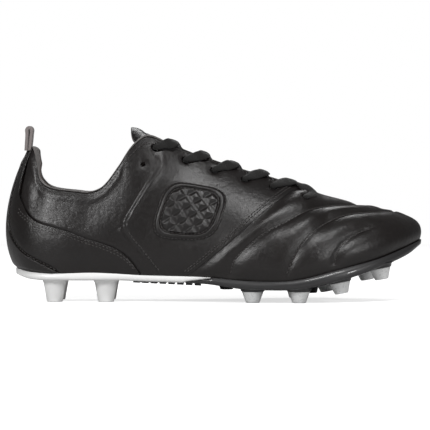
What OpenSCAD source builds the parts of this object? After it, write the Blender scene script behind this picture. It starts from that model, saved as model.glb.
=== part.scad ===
// Lace-up soccer cleat for the right foot, with moulded studs.
// +X points to the toe, +Y to the inner (medial) side and +Z up; the studs stand on z = 0.
// The upper follows one surface: k runs round the foot (0 at the heel, negative on the outer
// side, 12 at the toe tip) and v climbs from the sole edge (0) to the collar, throat or crest (1).

/* [Boot] */
// Overall length, heel back to toe tip
boot_length = 286.4; // [275:1:300]
// Gap left between neighbouring layers
layer_gap = 0.3; // [0.3:0.05:0.4]

/* [Upper layers] */
// Thickness of the outer leather
leather_t = 1.4; // [1.2:0.1:1.5]
// Thickness of the foam, toe puff and heel counter layer
foam_t = 2.4; // [2.2:0.1:2.5]
// Thickness of the fabric lining
lining_t = 0.8; // [0.6:0.1:0.9]
// Thickness of the eyestay reinforcement
eyestay_t = 0.8; // [0.6:0.1:0.9]
// How far the badge stands off the leather at its middle
badge_t = 2.2; // [1.5:0.1:3]

/* [Tongue and laces] */
// Thickness of the tongue foam
tongue_foam_t = 3; // [2.5:0.1:3.2]
// Height of the tongue's arch above its edges
tongue_rise = 6.5; // [5.5:0.1:7]
// Width of the flat lace
lace_w = 6; // [5:0.5:7]
// Thickness of the flat lace
lace_t = 1.4; // [1.2:0.1:1.5]
// Radius of an eyelet hole
eyelet_r = 2.6; // [2.5:0.05:2.8]

/* [Sole] */
// Length of a white stud tip
tip_h = 7.8; // [7:0.1:8]
// Radius of a stud tip where it meets its base
tip_top_r = 7.4; // [7:0.1:8]
// Radius of a stud tip on the ground
tip_ground_r = 4.7; // [4:0.1:5.2]
// Radius of a heel stud at the plate
heel_stud_top_r = 8.6; // [8:0.1:9]
// Radius of a heel stud on the ground
heel_stud_ground_r = 5.4; // [4.5:0.1:6]
// How far the plate's rim stands out from the upper
rim_out = 1.2; // [0.8:0.1:1.6]
// Thickness of the sockliner
sockliner_t = 3.5; // [3:0.1:4]

/* [Hidden] */
size = boot_length / 286.4;
lateral = -1;
medial = 1;
toe_k = 12;
crest_k = 7.9;
up = [0, 0, 1];

// Sole edge of the upper on each side: [k, x, y, z] from the heel back to the toe tip
edge_lateral = [
    [0, -136, 0, 22.6], [1, -128, -20, 21], [2, -110, -29, 19.7], [3, -85, -31, 20.5],
    [4, -50, -31, 18.8], [5, -15, -35, 18], [6, 20, -41, 15.4], [7, 50, -45, 15.4],
    [8, 80, -42, 21.9], [9, 108, -31, 29], [10, 128, -14, 36], [11, 139, 2, 40.3],
    [12, 142, 12, 41.2]];
edge_medial = [
    [0, -136, 0, 22.6], [1, -128, 19, 21], [2, -110, 28, 19.7], [3, -80, 29, 20.5],
    [4, -40, 27, 18.8], [5, 0, 31, 17.5], [6, 35, 40, 15.4], [7, 65, 46, 18],
    [8, 90, 45, 24], [9, 118, 40, 32], [10, 136, 28, 39], [11, 141, 20, 40.8],
    [12, 142, 12, 41.2]];
// Collar, throat edge and crest: [k, x, middle y, half width, z]
top_line = [
    [0, -126, 0, 0, 107], [0.35, -124, 0, 8, 106], [0.8, -121.5, 0, 14, 97],
    [1.3, -119.5, 0, 18, 85], [1.8, -112, 0, 23, 79], [2.4, -95, 0, 26, 76.5],
    [2.8, -85, 0, 27, 76], [3.1, -76, 0, 27.5, 80], [3.5, -66, 0, 27, 93],
    [3.85, -57, 0, 25.5, 106.6], [4.15, -47, 0, 22, 114.5], [4.5, -36, 0, 18, 111.5],
    [5, -20, 0, 13, 104], [5.6, 0, 0.5, 11, 97], [6.2, 20, 0.5, 10, 90.5], [6.8, 40, 1, 9, 85],
    [7.4, 60, 1.5, 7.5, 78], [7.9, 72, 2, 0, 72.5], [8.6, 85, 3, 0, 69], [9.5, 97, 4.5, 0, 66],
    [10.6, 108, 6, 0, 64.2], [12, 118, 7.5, 0, 62.8]];
// Swell of the side wall: [k, out at the sole, rise from it, out at the top, drop from it]
swell = [
    [0, 14, 22.4, 14, 25], [1, 10, 20, 8, 22], [2, 7, 18, 5, 18], [3, 6, 18, 4, 20],
    [4, 8, 25, 6, 30], [5, 8, 26, 16, 22], [6, 7, 26, 22, 14], [7, 6, 22, 26, 10],
    [8, 6, 18, 30, 4], [9, 6, 15, 27, 2.4], [10, 5, 13, 22, 3], [11, 4.5, 11, 17, 2.2],
    [12, 4, 10.8, 16, 1.3]];

// ---- curves through control rows, whose first entry is the parameter ----
function mix(a, b, t) = a + (b - a) * t;
function pick(row) = [for (i = [1:len(row) - 1]) row[i]];
function find_span(rows, t, i = 1) =
    (i >= len(rows) - 3 || t <= rows[i + 1][0]) ? i : find_span(rows, t, i + 1);
function slope(rows, i) = (rows[i + 1] - rows[i - 1]) / (rows[i + 1][0] - rows[i - 1][0]);
function hermite(a, b, ma, mb, h, s) =
    (2 * s ^ 3 - 3 * s ^ 2 + 1) * a + (s ^ 3 - 2 * s ^ 2 + s) * h * ma
    + (3 * s ^ 2 - 2 * s ^ 3) * b + (s ^ 3 - s ^ 2) * h * mb;
function span_at(rows, t, i) =
    let (h = rows[i + 1][0] - rows[i][0])
    hermite(rows[i], rows[i + 1], slope(rows, i), slope(rows, i + 1), h, (t - rows[i][0]) / h);
function track(rows, t) = pick(span_at(rows, t, find_span(rows, t)));
// Open curves get a straight run-on at each end
function run_on(rows) =
    let (n = len(rows) - 1)
    concat([2 * rows[0] - rows[1]], rows, [2 * rows[n] - rows[n - 1]]);
// Curves that close on their mirror side get that side's rows as run-ons
function wrap(rows, other) =
    concat([concat(-other[1][0], pick(other[1]))], rows,
        [concat(2 * toe_k - other[len(other) - 2][0], pick(other[len(other) - 2]))]);
function flip_half(row) = [row[0], row[1], row[2], -row[3], row[4]];

edge_rows_lateral = wrap(edge_lateral, edge_medial);
edge_rows_medial = wrap(edge_medial, edge_lateral);
top_rows = wrap(top_line, [for (row = top_line) flip_half(row)]);
swell_rows = wrap(swell, swell);
function edge_rows(k) = k < 0 ? edge_rows_lateral : edge_rows_medial;
function side_of(k) = k < 0 ? lateral : medial;
function fold_k(k) = k > toe_k ? k - 2 * toe_k : (k < -toe_k ? k + 2 * toe_k : k);

// ---- the upper's surface ----
function unit(p) = p / norm(p);
function edge_point(k) = track(edge_rows(k), abs(k));
function edge_out(k) =
    let (e = 0.02, u = abs(k), d = track(edge_rows(k), u + e) - track(edge_rows(k), u - e))
    side_of(k) * unit([-d.y, d.x, 0]);
function top_point(k) =
    let (t = track(top_rows, abs(k)))
    [t[0], t[1] + side_of(k) * max(t[2], 0), t[3]];
function bezier(a, b, c, d, t) =
    (1 - t) ^ 3 * a + 3 * t * (1 - t) ^ 2 * b + 3 * t ^ 2 * (1 - t) * c + t ^ 3 * d;
function wall_at(k0, v) =
    let (k = fold_k(k0), a = edge_point(k), d = top_point(k), out = edge_out(k),
        w = track(swell_rows, abs(k)))
    bezier(a, a + out * w[0] + up * w[1], d + out * w[2] - up * w[3], d, v);
function face_normal(k, v0) =
    let (v = max(0.01, min(0.97, v0)), e = 0.01)
    unit(cross(wall_at(k, v + e) - wall_at(k, v - e), wall_at(k + e, v) - wall_at(k - e, v)));
function on_crest(k, v) = v > 0.999 && abs(k) >= crest_k - 0.001;
function normal(k, v) =
    on_crest(k, v) ? unit(face_normal(k, v) + face_normal(-k, v)) : face_normal(k, v);
function skin(k, v, off) = size * wall_at(k, v) + normal(k, v) * off;

// ---- closed sheets: a grid of [k, v, outer offset, inner offset], columns round the foot ----
function quad(a, b, c, d) = [[a, b, c], [a, c, d]];
function flat_list(lists) = [for (l = lists) for (x = l) x];
module grid_sheet(grid) {
    cols = len(grid);
    rows = len(grid[0]);
    n = cols * rows;
    outer = [for (col = grid) for (g = col) skin(g[0], g[1], g[2])];
    inner = [for (col = grid) for (g = col) skin(g[0], g[1], g[3])];
    polyhedron(concat(outer, inner), sheet_faces(cols, rows, n));
}
function sheet_faces(cols, rows, n) =
    flat_list(concat(
        [for (c = [0:cols - 2], r = [0:rows - 2]) let (a = c * rows + r)
            quad(a, a + rows, a + rows + 1, a + 1)],
        [for (c = [0:cols - 2], r = [0:rows - 2]) let (a = n + c * rows + r)
            quad(a, a + 1, a + rows + 1, a + rows)],
        [for (c = [0:cols - 2]) let (a = c * rows) quad(a + rows, a, a + n, a + rows + n)],
        [for (c = [0:cols - 2]) let (a = c * rows + rows - 1)
            quad(a, a + rows, a + rows + n, a + n)],
        [for (r = [0:rows - 2]) quad(r, r + 1, r + 1 + n, r + n)],
        [for (r = [0:rows - 2]) let (a = (cols - 1) * rows + r) quad(a + 1, a, a + n, a + 1 + n)]));
function steps(n) = [for (i = [0:n]) i / n];
// Steps that crowd together towards the end
function top_steps(n) = [for (i = [0:n]) 1 - (1 - i / n) ^ 1.4];
// The same grid on the other side of the boot
function mirror_grid(grid) = [for (i = [len(grid) - 1:-1:0])
    [for (g = grid[i]) [-g[0], g[1], g[2], g[3]]]];

// ---- layer offsets, measured inwards from the outer surface ----
leather_in = -leather_t;
foam_out = leather_in - layer_gap;
foam_in = foam_out - foam_t;
lining_out = foam_in - layer_gap;
lining_in = lining_out - lining_t;
// Extra room over the eyestay and the foam, whose facets are larger than the leather's
layer_slack = 0.35;
eyestay_out = foam_out - layer_slack;
eyestay_in = eyestay_out - eyestay_t;
padding_out = foam_out - layer_slack;
tongue_out = lining_in - 0.6;
tongue_skin_t = 1;
// The arch of the tongue bends most, so its layers lie further apart
tongue_gap = layer_gap + 0.1;
tongue_foam_out = tongue_out - tongue_skin_t - tongue_gap;
tongue_foam_in = tongue_foam_out - tongue_foam_t;
tongue_lining_out = tongue_foam_in - tongue_gap;
tongue_lining_in = tongue_lining_out - lining_t;

// ---- seam lines as curves in k and v ----
foot_v = 0.015;
lining_foot_v = 0.04;
collar_v = 0.965;
collar_end_k = 4.6;
lining_top_v = 0.75;
seam_k = 0.015;
// Vamp seam and heel strip edge: [v, k]
vamp_seam = run_on([[0, 4.82], [0.28, 5.67], [0.48, 6.27], [0.7, 6.83], [0.885, 7.15], [1, 7.3]]);
strip_edge = run_on([[0, 2.24], [0.1, 1.78], [0.16, 1.37], [0.22, 0.9], [0.28, 0.56],
    [0.36, 0.3], [0.56, 0.14], [0.975, 0.12]]);
// Upper edge of the heel overlay, from the sole back to the heel and up: [run, k, v]
overlay_edge = run_on([[0, 4, foot_v], [0.17, 3.72, 0.165], [0.34, 3.3, 0.31], [0.5, 2.75, 0.44],
    [0.64, 2, 0.535], [0.75, 1.2, 0.56], [0.83, 0.66, 0.57], [0.9, 0.42, 0.72],
    [1, 0.3, collar_v]]);
function vamp_k(v) = track(vamp_seam, v)[0];
// How far the vamp seam bows away from a straight line
function vamp_bow(v) = vamp_k(v) - mix(vamp_k(0), vamp_k(1), v);
function strip_k(v) = track(strip_edge, v)[0];
// The quarter follows the overlay's edge up to this share of its run, and stands off it by this
overlay_share = 0.83;
overlay_gap_k = 0.12;
overlay_gap_v = 0.04;
quarter_back_k = 0.38;
// Rows of the heel panels crowd together towards the sole
heel_crowd = 1.3;

// ---- eyelets: [k, v], from the ankle to the toe ----
eyelets = [[4.37, 0.91], [5.02, 0.9], [5.62, 0.88], [6.25, 0.866], [6.81, 0.855], [7.42, 0.81]];
spare_eyelet = [4.1, 0.793];
spare_r = 1.5;
last_eyelet = len(eyelets) - 1;
// How far a hole's cutter stands out of the leather
hole_over = 2;
module along_normal(k, v, off) {
    n = normal(k, v);
    translate(skin(k, v, off)) rotate([0, acos(n.z), atan2(n.y, n.x)]) children();
}
module hole(k, v, r) {
    depth = leather_t + foam_t;
    along_normal(k, v, -depth) cylinder(h = depth + hole_over, r = r, $fn = 20);
}
module eyelet_holes(side) {
    for (e = eyelets) hole(side * e[0], e[1], eyelet_r);
}

// ---- quarters, heel overlays and heel strip ----
module quarter(side) {
    low = [for (t = steps(16))
        track(overlay_edge, mix(overlay_share, 0, t)) + [0, overlay_gap_v]];
    foot = [for (t = steps(4))
        [mix(track(overlay_edge, 0)[0] + overlay_gap_k, vamp_k(0) - seam_k, t), foot_v]];
    bottoms = concat(low, foot);
    n = len(bottoms) - 1;
    grid = [for (i = [0:n]) [for (t = top_steps(9))
        let (top_k = mix(quarter_back_k, vamp_k(1) - seam_k, i / n),
            top_v = top_k < collar_end_k + 0.1 ? collar_v : 1,
            v = mix(bottoms[i][1], top_v, t),
            k = mix(bottoms[i][0], top_k, t) + pow(i / n, 4) * vamp_bow(v))
        [k, v, 0, leather_in]]];
    resize([0, 0, 0]) difference() {
        grid_sheet(side == medial ? grid : mirror_grid(grid));
        eyelet_holes(side);
        hole(side * spare_eyelet[0], spare_eyelet[1], spare_r);
    }
}
module quarter_lateral() { color("#1c1b1b") quarter(lateral); }
module quarter_medial() { color("#1c1b1b") quarter(medial); }

module heel_overlay(side) {
    n = 18;
    grid = [for (t = steps(n)) let (s = 1 - t, v = mix(foot_v, collar_v, pow(s, heel_crowd)),
        inner = [strip_k(v) + seam_k, v], outer = track(overlay_edge, s))
        [for (w = steps(7)) concat(mix(inner, outer, w), 0, leather_in)]];
    grid_sheet(side == medial ? grid : mirror_grid(grid));
}
module heel_overlay_lateral() { color("#1f1e1e") heel_overlay(lateral); }
module heel_overlay_medial() { color("#1f1e1e") heel_overlay(medial); }

module heel_strip() {
    color("#232222")
    grid_sheet([for (w = steps(12)) [for (t = steps(14))
        let (v = mix(foot_v, collar_v, pow(t, heel_crowd)))
        [mix(-1, 1, w) * (strip_k(v) - seam_k), v, 0, leather_in]]]);
}

// ---- inside the heel and the collar ----
counter_end_k = 2.6;
counter_top_v = 0.62;
// How much thinner the counter is than the foam, on each face
counter_in = 0.5;
collar_foam_end_k = 4.05;
lining_step_k = 4.1;
// Gaps between the counter and the collar foam, and under the binding
foam_gap_v = 0.02;
binding_gap_v = 0.008;
module heel_counter() {
    color("#d8cfc0")
    grid_sheet([for (w = steps(24)) [for (t = steps(5))
        [mix(-1, 1, w) * counter_end_k, mix(lining_foot_v, counter_top_v, t),
            foam_out - counter_in, foam_in + counter_in]]]);
}
module collar_padding() {
    color("#e0d050")
    grid_sheet([for (w = steps(36)) [for (t = steps(3))
        [mix(-1, 1, w) * collar_foam_end_k, mix(counter_top_v + foam_gap_v, collar_v, t),
            padding_out, foam_in]]]);
}
function lining_top(k) = abs(k) < lining_step_k ? collar_v : lining_top_v;
module quarter_lining() {
    color("#8d817c")
    grid_sheet([for (w = steps(44)) let (f = mix(-1, 1, w)) [for (t = steps(5))
        let (top_v = lining_top(f * vamp_k(lining_top_v)) - binding_gap_v,
            v = mix(lining_foot_v, top_v, t))
        [f * (vamp_k(min(v, lining_top_v)) - seam_k), v, lining_out, lining_in]]]);
}
// Rows of the binding over the rim: [v, how far it stands off the leather]
binding_rows = [[0.988, 0.25], [0.997, 0.25], [1.006, 0.05]];
module collar_binding() {
    color("#6e6966")
    grid_sheet([for (w = steps(56)) let (k = mix(-1, 1, w) * collar_end_k,
        inside = abs(k) < lining_step_k ? lining_in : eyestay_in)
        [for (row = binding_rows) [k, row[0], row[1], inside]]]);
}

// ---- vamp: sheets that wrap over the crest, open at the throat ----
// Every layer here uses the same stations, so that neighbouring layers never cross
stations = 18;
puff_station = 11;
throat_station = 4;
puff_k = 9.8;
function share(a, b, j) = (j - a) / (b - a);
function foot_k(j) = j < puff_station
    ? mix(vamp_k(0) + seam_k, puff_k, share(0, puff_station, j))
    : mix(puff_k, toe_k, share(puff_station, stations, j));
function top_k(j) = j < throat_station
    ? mix(vamp_k(1) + seam_k, crest_k, share(0, throat_station, j))
    : (j < puff_station ? mix(crest_k, puff_k, share(throat_station, puff_station, j))
        : mix(puff_k, toe_k, share(puff_station, stations, j)));
function station_k(j, v) =
    mix(foot_k(j), top_k(j), v) + max(0, 1 - j / puff_station) * vamp_bow(v);
// The two halves share the points on the crest and, when closed, at the toe tip
module saddle(first, last, top_v, outer, inner, rows = 8) {
    count = last - first;
    closed = last == stations;
    open = max(0, throat_station - first);
    function column_top(j) = j < open ? top_v : 1;
    function node_at(side, j, r) =
        let (v = mix(foot_v, column_top(j), r / rows), trim = j == count && !closed ? seam_k : 0)
        [side * (station_k(first + j, v) - 2 * trim), v];
    per_side = (count + 1) * (rows + 1);
    half = 2 * per_side;
    function id(side, j, r) =
        (side == lateral && !(r == rows && j >= open) && !(closed && j == count)
            ? per_side : 0) + j * (rows + 1) + r;
    nodes = [for (side = [medial, lateral], j = [0:count], r = [0:rows]) node_at(side, j, r)];
    function turn(side, f) = side == medial ? f : [f[3], f[2], f[1], f[0]];
    function face4(side, f) = let (g = turn(side, f)) quad(g[0], g[1], g[2], g[3]);
    walls = [for (side = [medial, lateral]) each concat(
        [for (j = [0:count - 1]) let (a = id(side, j, 0), b = id(side, j + 1, 0))
            face4(side, [b, a, a + half, b + half])],
        [for (r = [0:rows - 1]) let (a = id(side, 0, r), b = id(side, 0, r + 1))
            face4(side, [a, b, b + half, a + half])],
        open > 0 ? [for (j = [0:open - 1]) let (a = id(side, j, rows), b = id(side, j + 1, rows))
            face4(side, [a, b, b + half, a + half])] : [],
        closed ? [] : [for (r = [0:rows - 1])
            let (a = id(side, count, r), b = id(side, count, r + 1))
            face4(side, [b, a, a + half, b + half])])];
    skins = [for (side = [medial, lateral], j = [0:count - 1], r = [0:rows - 1])
        let (a = id(side, j, r), b = id(side, j + 1, r), c = id(side, j + 1, r + 1),
            d = id(side, j, r + 1))
        each [face4(side, [a, b, c, d]), face4(side, [a + half, d + half, c + half, b + half])]];
    polyhedron(
        concat([for (g = nodes) skin(g[0], g[1], outer)],
            [for (g = nodes) skin(g[0], g[1], inner)]),
        flat_list(concat(walls, skins)));
}
module vamp() {
    color("#1d1c1c")
    resize([0, 0, 0]) difference() {
        saddle(0, stations, 1, 0, leather_in);
        for (side = [lateral, medial])
            hole(side * eyelets[last_eyelet][0], eyelets[last_eyelet][1], eyelet_r);
    }
}
module vamp_padding() {
    color("#e0d050") saddle(0, puff_station, lining_top_v, padding_out, foam_in);
}
module toe_puff() {
    color("#d8cfc0") saddle(puff_station, stations, 1, foam_out, foam_in);
}
module vamp_lining() {
    color("#8d817c") saddle(0, stations, lining_top_v, lining_out, lining_in);
}

// ---- eyestay reinforcement, badge ----
eyestay_k = [4.2, 7.62];
eyestay_v = [0.82, 0.9, 0.97];
module eyestay(side) {
    resize([0, 0, 0]) difference() {
        grid_sheet([for (t = steps(20)) [for (v = eyestay_v)
            let (k = mix(eyestay_k[0], eyestay_k[1], side == medial ? t : 1 - t))
            [side * k, v, eyestay_out, eyestay_in]]]);
        eyelet_holes(side);
    }
}
module eyestay_lateral() { color("#2a2828") eyestay(lateral); }
module eyestay_medial() { color("#2a2828") eyestay(medial); }

badge_k = 5.05;
badge_v = 0.5;
badge_half_k = 0.67;
badge_half_v = 0.215;
badge_slant = 0.25;
// The grid stops short of the square's corners, and the rim drops by this share of the height
badge_reach = 0.96;
badge_rim_drop = 0.8;
module badge(side) {
    function inside(a, b) = [a * sqrt(1 - b * b / 2), b * sqrt(1 - a * a / 2)];
    grid_sheet([for (i = steps(10)) [for (j = steps(10))
        let (a = mix(-1, 1, i), b = mix(-1, 1, j), p = inside(a * badge_reach, b * badge_reach),
            lift = badge_t * (1 - max(abs(a), abs(b)) ^ 6 * badge_rim_drop))
        [side * badge_k + badge_half_k * p[0] + side * badge_slant * p[1],
            badge_v + badge_half_v * p[1], lift, layer_gap]]]);
}
module badge_lateral() { color("#191818") badge(lateral); }
module badge_medial() { color("#191818") badge(medial); }

// ---- tongue: an arch between the throat edges with a flap under each eyestay ----
// Height of the tongue's crest: [k, z]
tongue_crest = run_on([[3.85, 119.2], [4.15, 116.6], [4.5, 112], [5, 104.5], [5.6, 97],
    [6.2, 90.3], [6.8, 84.2], [7.4, 77.1], [7.8, 71]]);
tongue_top_k = 3.85;
tongue_base_k = 7.6;
arch_steps = 8;
// The tongue's rise that the crest heights above were drawn for
drawn_rise = 6.5;
function crest_z(k) = size * track(tongue_crest, k)[0] + tongue_rise - drawn_rise;
function flap_v(k) = mix(0.94, 0.84, max(0, min(1, (k - 4.55) / 0.2)));
function arch_point(k, w, off) =
    let (a = skin(k, 1, off), b = skin(-k, 1, off), p = mix(a, b, w))
    p + up * (crest_z(k) + off - tongue_out - p.z) * 4 * w * (1 - w);
function tongue_section(k, off) = concat(
    [for (t = steps(3)) skin(k, mix(flap_v(k), 1, t), off)],
    [for (w = [1:arch_steps - 1]) arch_point(k, w / arch_steps, off)],
    [for (t = steps(3)) skin(-k, mix(1, flap_v(k), t), off)]);
module tongue_layer(outer, inner) {
    ks = [for (t = steps(14)) mix(tongue_top_k, tongue_base_k, t)];
    out_points = [for (k = ks) each tongue_section(k, outer)];
    in_points = [for (k = ks) each tongue_section(k, inner)];
    rows = len(out_points) / len(ks);
    polyhedron(concat(out_points, in_points), sheet_faces(len(ks), rows, len(out_points)));
}
module tongue_cover() {
    color("#1f1e1e") tongue_layer(tongue_out, tongue_out - tongue_skin_t);
}
module tongue_padding() { color("#e0d050") tongue_layer(tongue_foam_out, tongue_foam_in); }
module tongue_lining() { color("#8d817c") tongue_layer(tongue_lining_out, tongue_lining_in); }

// ---- lace: one flat cord that runs over each eyelet and up between the throat edges ----
lace_hole_w = 2.9;
// How far towards the toe the lace reaches the throat edge from its eyelet
lace_lean = 0.26;
lace_under = -3.9;
// The lace lies flat along the throat, which falls towards the toe
throat_slope = unit([1, 0, -0.36]);
low_cross = 2.2;
high_cross = 4;
// Height of the lace's middle over the leather, over the throat edge and over the tongue
leather_lift = 1.7;
edge_lift = 2.6;
bar_lift = 2.2;
bar_w = lace_w * 0.8;
// Waypoints are [x, y, z, width]
function way(p, w) = [p.x, p.y, p.z, w];
// Down into eyelet i from outside and back under the leather
function through(side, i) = let (k = eyelets[i][0], v = eyelets[i][1])
    [way(skin(side * (k + lace_lean / 2), mix(v, 1, 0.5), leather_lift), lace_w),
        way(skin(side * k, v, 1.1), lace_hole_w), way(skin(side * k, v, -1), lace_hole_w),
        way(skin(side * (k - 0.01), v + 0.012, lace_under), lace_hole_w)];
function cross_over(from, i, lift) =
    let (k0 = eyelets[i][0], k1 = eyelets[i - 1][0], km = (k0 + k1) / 2)
    [way(arch_point(km, 0.5, tongue_out) + up * lift, lace_w),
        way(skin(-from * (k1 + lace_lean), 1, edge_lift), lace_w)];
// Share of the way across the tongue's arch where the lace comes out from under the leather
function arch_side(side) = side == medial ? 0.16 : 0.84;
function from_under(side, i) = let (k = eyelets[i][0])
    [way(skin(side * (k - 0.1), 1, lace_under - 0.1), bar_w),
        way(arch_point(k - 0.15, arch_side(side), tongue_out) + up * bar_lift, lace_w)];
function from_over(side, i) = [way(skin(side * (eyelets[i][0] - 0.13), 1, 1.3), lace_w)];
// One half of the lace, from its foremost eyelet on this side up to the ankle
function climb(side, i, lift) = i == 0 ? [] : concat(
    i == last_eyelet ? from_over(side, i) : from_under(side, i),
    cross_over(side, i, lift), through(-side, i - 1), climb(-side, i - 1, lift));
// The lace's ends tuck in beside the foot, inside the lining
tuck = lining_in - 1.5;
function tucked(side) =
    [way(skin(side * 4.36, 0.89, -5.3), lace_hole_w), way(skin(side * 4.35, 0.86, tuck), 3),
        way(skin(side * 4.33, 0.8, tuck), 3), way(skin(side * 4.3, 0.7, tuck), 3)];
function reversed(list) = [for (i = [len(list) - 1:-1:0]) list[i]];
function half_lace(side, lift) = concat(reversed(through(side, last_eyelet)),
    climb(side, last_eyelet, lift), tucked(-side));
// Under the foremost eyelets the lace runs straight across, on top of the tongue
function bar(side) = let (k = eyelets[last_eyelet][0], w = arch_side(side))
    [way(skin(side * k, 0.97, lace_under), lace_hole_w),
        way(arch_point(k, w, tongue_out) + up * bar_lift, bar_w),
        way(arch_point(k, mix(w, 0.5, 0.5), tongue_out) + up * bar_lift, bar_w)];
lace_line = concat(reversed(half_lace(lateral, low_cross)), bar(lateral),
    reversed(bar(medial)),
    half_lace(medial, high_cross));
// Smooth run through the waypoints
function spline(a, b, c, d, t) = 0.5 * ((2 * b) + (c - a) * t + (2 * a - 5 * b + 4 * c - d) * t ^ 2
    + (3 * b - a - 3 * c + d) * t ^ 3);
function smooth(line, n) = let (last = len(line) - 1) concat(
    [for (i = [0:last - 1], s = [0:n - 1]) spline(line[max(i - 1, 0)], line[i], line[i + 1],
        line[min(i + 2, last)], s / n)], [line[last]]);
function spot(w) = [w[0], w[1], w[2]];
module lace() {
    color("#111111") {
        line = smooth(lace_line, 3);
        n = len(line);
        rings = [for (i = [0:n - 1])
            let (d = unit(spot(line[min(i + 1, n - 1)]) - spot(line[max(i - 1, 0)])),
                across = unit(throat_slope - d * (d * throat_slope)), thick = cross(across, d),
                a = across * line[i][3] / 2, b = thick * lace_t / 2, p = spot(line[i]))
            each [p - a - b, p + a - b, p + a + b, p - a + b]];
        sides = [for (i = [0:n - 2], s = [0:3]) let (a = 4 * i + s, b = 4 * i + (s + 1) % 4)
            quad(a, b, b + 4, a + 4)];
        ends = [quad(3, 2, 1, 0), quad(4 * n - 4, 4 * n - 3, 4 * n - 2, 4 * n - 1)];
        polyhedron(rings, flat_list(concat(sides, ends)));
    }
}
tip_r = 1.1;
lace_tip_h = 14;
module lace_tips() {
    color("#151515")
    for (side = [lateral, medial]) {
        a = skin(side * 4.3, 0.69, tuck);
        d = unit(skin(side * 4.3, 0.52, tuck - 0.6) - a);
        translate(a) rotate([0, acos(d.z), atan2(d.y, d.x)])
            cylinder(h = lace_tip_h, r = tip_r, $fn = 24);
    }
}

// ---- pull tab: a webbing loop sewn to the back of the heel ----
tab_w = 12;
module pull_tab() {
    outer = [[-131.8, 103.6], [-129.4, 103.6], [-127.6, 108.5], [-125.3, 114], [-124.5, 118.4],
        [-125.6, 119.7], [-129.4, 119.7], [-130.8, 118.2], [-131.5, 112]];
    inner = [[-130.4, 107.5], [-129.2, 108.6], [-126.7, 114.4], [-125.9, 118.1], [-126.3, 118.5],
        [-128.9, 118.5], [-129.6, 117.8], [-130.2, 112]];
    color("#8d817c")
    translate([0, tab_w / 2, 0]) rotate([90, 0, 0]) linear_extrude(tab_w)
        difference() {
            polygon(size * outer);
            polygon(size * inner);
        }
}

// ---- sole ----
// Side view of the sole's top and underside: [x, z]
sole_top = [[-146, 23.2], [-136, 22.6], [-128, 21], [-119, 20.1], [-110, 19.7], [-85, 20.5],
    [-68, 19.9], [-50, 18.8], [-15, 18], [2, 17], [20, 15.4], [35, 15], [50, 15.4], [65, 17.9],
    [80, 21.9], [94, 25.4], [108, 29], [118, 32.2], [128, 36], [139, 40.3], [146, 43]];
sole_low = [[-146, 22], [-136, 18.6], [-124.5, 15.9], [-100, 15.4], [-65, 15.4], [-52, 14.9],
    [-8, 13.3], [20, 9.8], [50, 9.3], [62, 10.6], [73.5, 12.8], [93.5, 17.9], [119.7, 27],
    [133, 32.6], [141, 37.8], [146, 41]];
// The heel plate ends in a wedge that lies on top of the forefoot plate: [x, z]
wedge_start = [-24, 13.88];
wedge_tip = [-3, 16.6];
forefoot_start = -20;
top_drop = 0.35;
wedge_gap = 0.25;
heel_low = concat([for (p = sole_low) if (p[0] < wedge_start.x) p],
    [wedge_start, wedge_tip, [146, wedge_tip.y]]);
forefoot_top = concat([[-146, wedge_start.y], wedge_start - [0, wedge_gap - top_drop],
    wedge_tip - [0, wedge_gap - top_drop], [wedge_tip.x + 0.4, top_z(wedge_tip.x)]],
    [for (p = sole_top) if (p[0] > 0) p]);
board_t = 1.6;
board_in = 5.3;
sockliner_in = 6;
// Height of the board's underside over the sole, and of the sockliner's over the board's top
board_lift = 0.1;
sockliner_lift = 0.3;
insole_x = [-134, 140];
function top_z(x) = lookup(x, sole_top);
function low_z(x) = lookup(x, sole_low);
// Plan outline of the sole edge, moved out by a margin
function outline(out) = [for (i = [0:63]) let (k = mix(-toe_k, toe_k, i / 64), p = edge_point(k),
    n = edge_out(k)) [size * p.x + n.x * out, size * p.y + n.y * out]];
function between(list, a, b) = [for (p = list) if (p[0] > a + 0.5 && p[0] < b - 0.5) p];
// Taller and wider than the sole, for the bodies that slice it
tall = 60;
wide = 140;
// A slice of the boot's plan between two side-view lines
module slice(out, a, b, top, top_off, low, low_off) {
    above = concat([[a, lookup(a, top)]], between(top, a, b), [[b, lookup(b, top)]]);
    below = concat([[a, lookup(a, low)]], between(low, a, b), [[b, lookup(b, low)]]);
    side_view = concat([for (p = above) size * p + [0, top_off]],
        [for (i = [len(below) - 1:-1:0]) size * below[i] + [0, low_off]]);
    intersection() {
        linear_extrude(tall) polygon(outline(out));
        translate([0, wide / 2, 0]) rotate([90, 0, 0]) linear_extrude(wide) polygon(side_view);
    }
}
stud_h = 9.5;
// Stud tips of the forefoot: [x, y]
forefoot_studs = [[25.6, -31], [57, -34], [86, -29.5], [114, -18],
    [26, 30], [57, 35.5], [79, 35.5], [107, 31]];
heel_studs = [[-109.6, -16], [-74.5, -18], [-109.6, 16], [-74.5, 18]];
core_r = 3;
core_h = 4.5;
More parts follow.
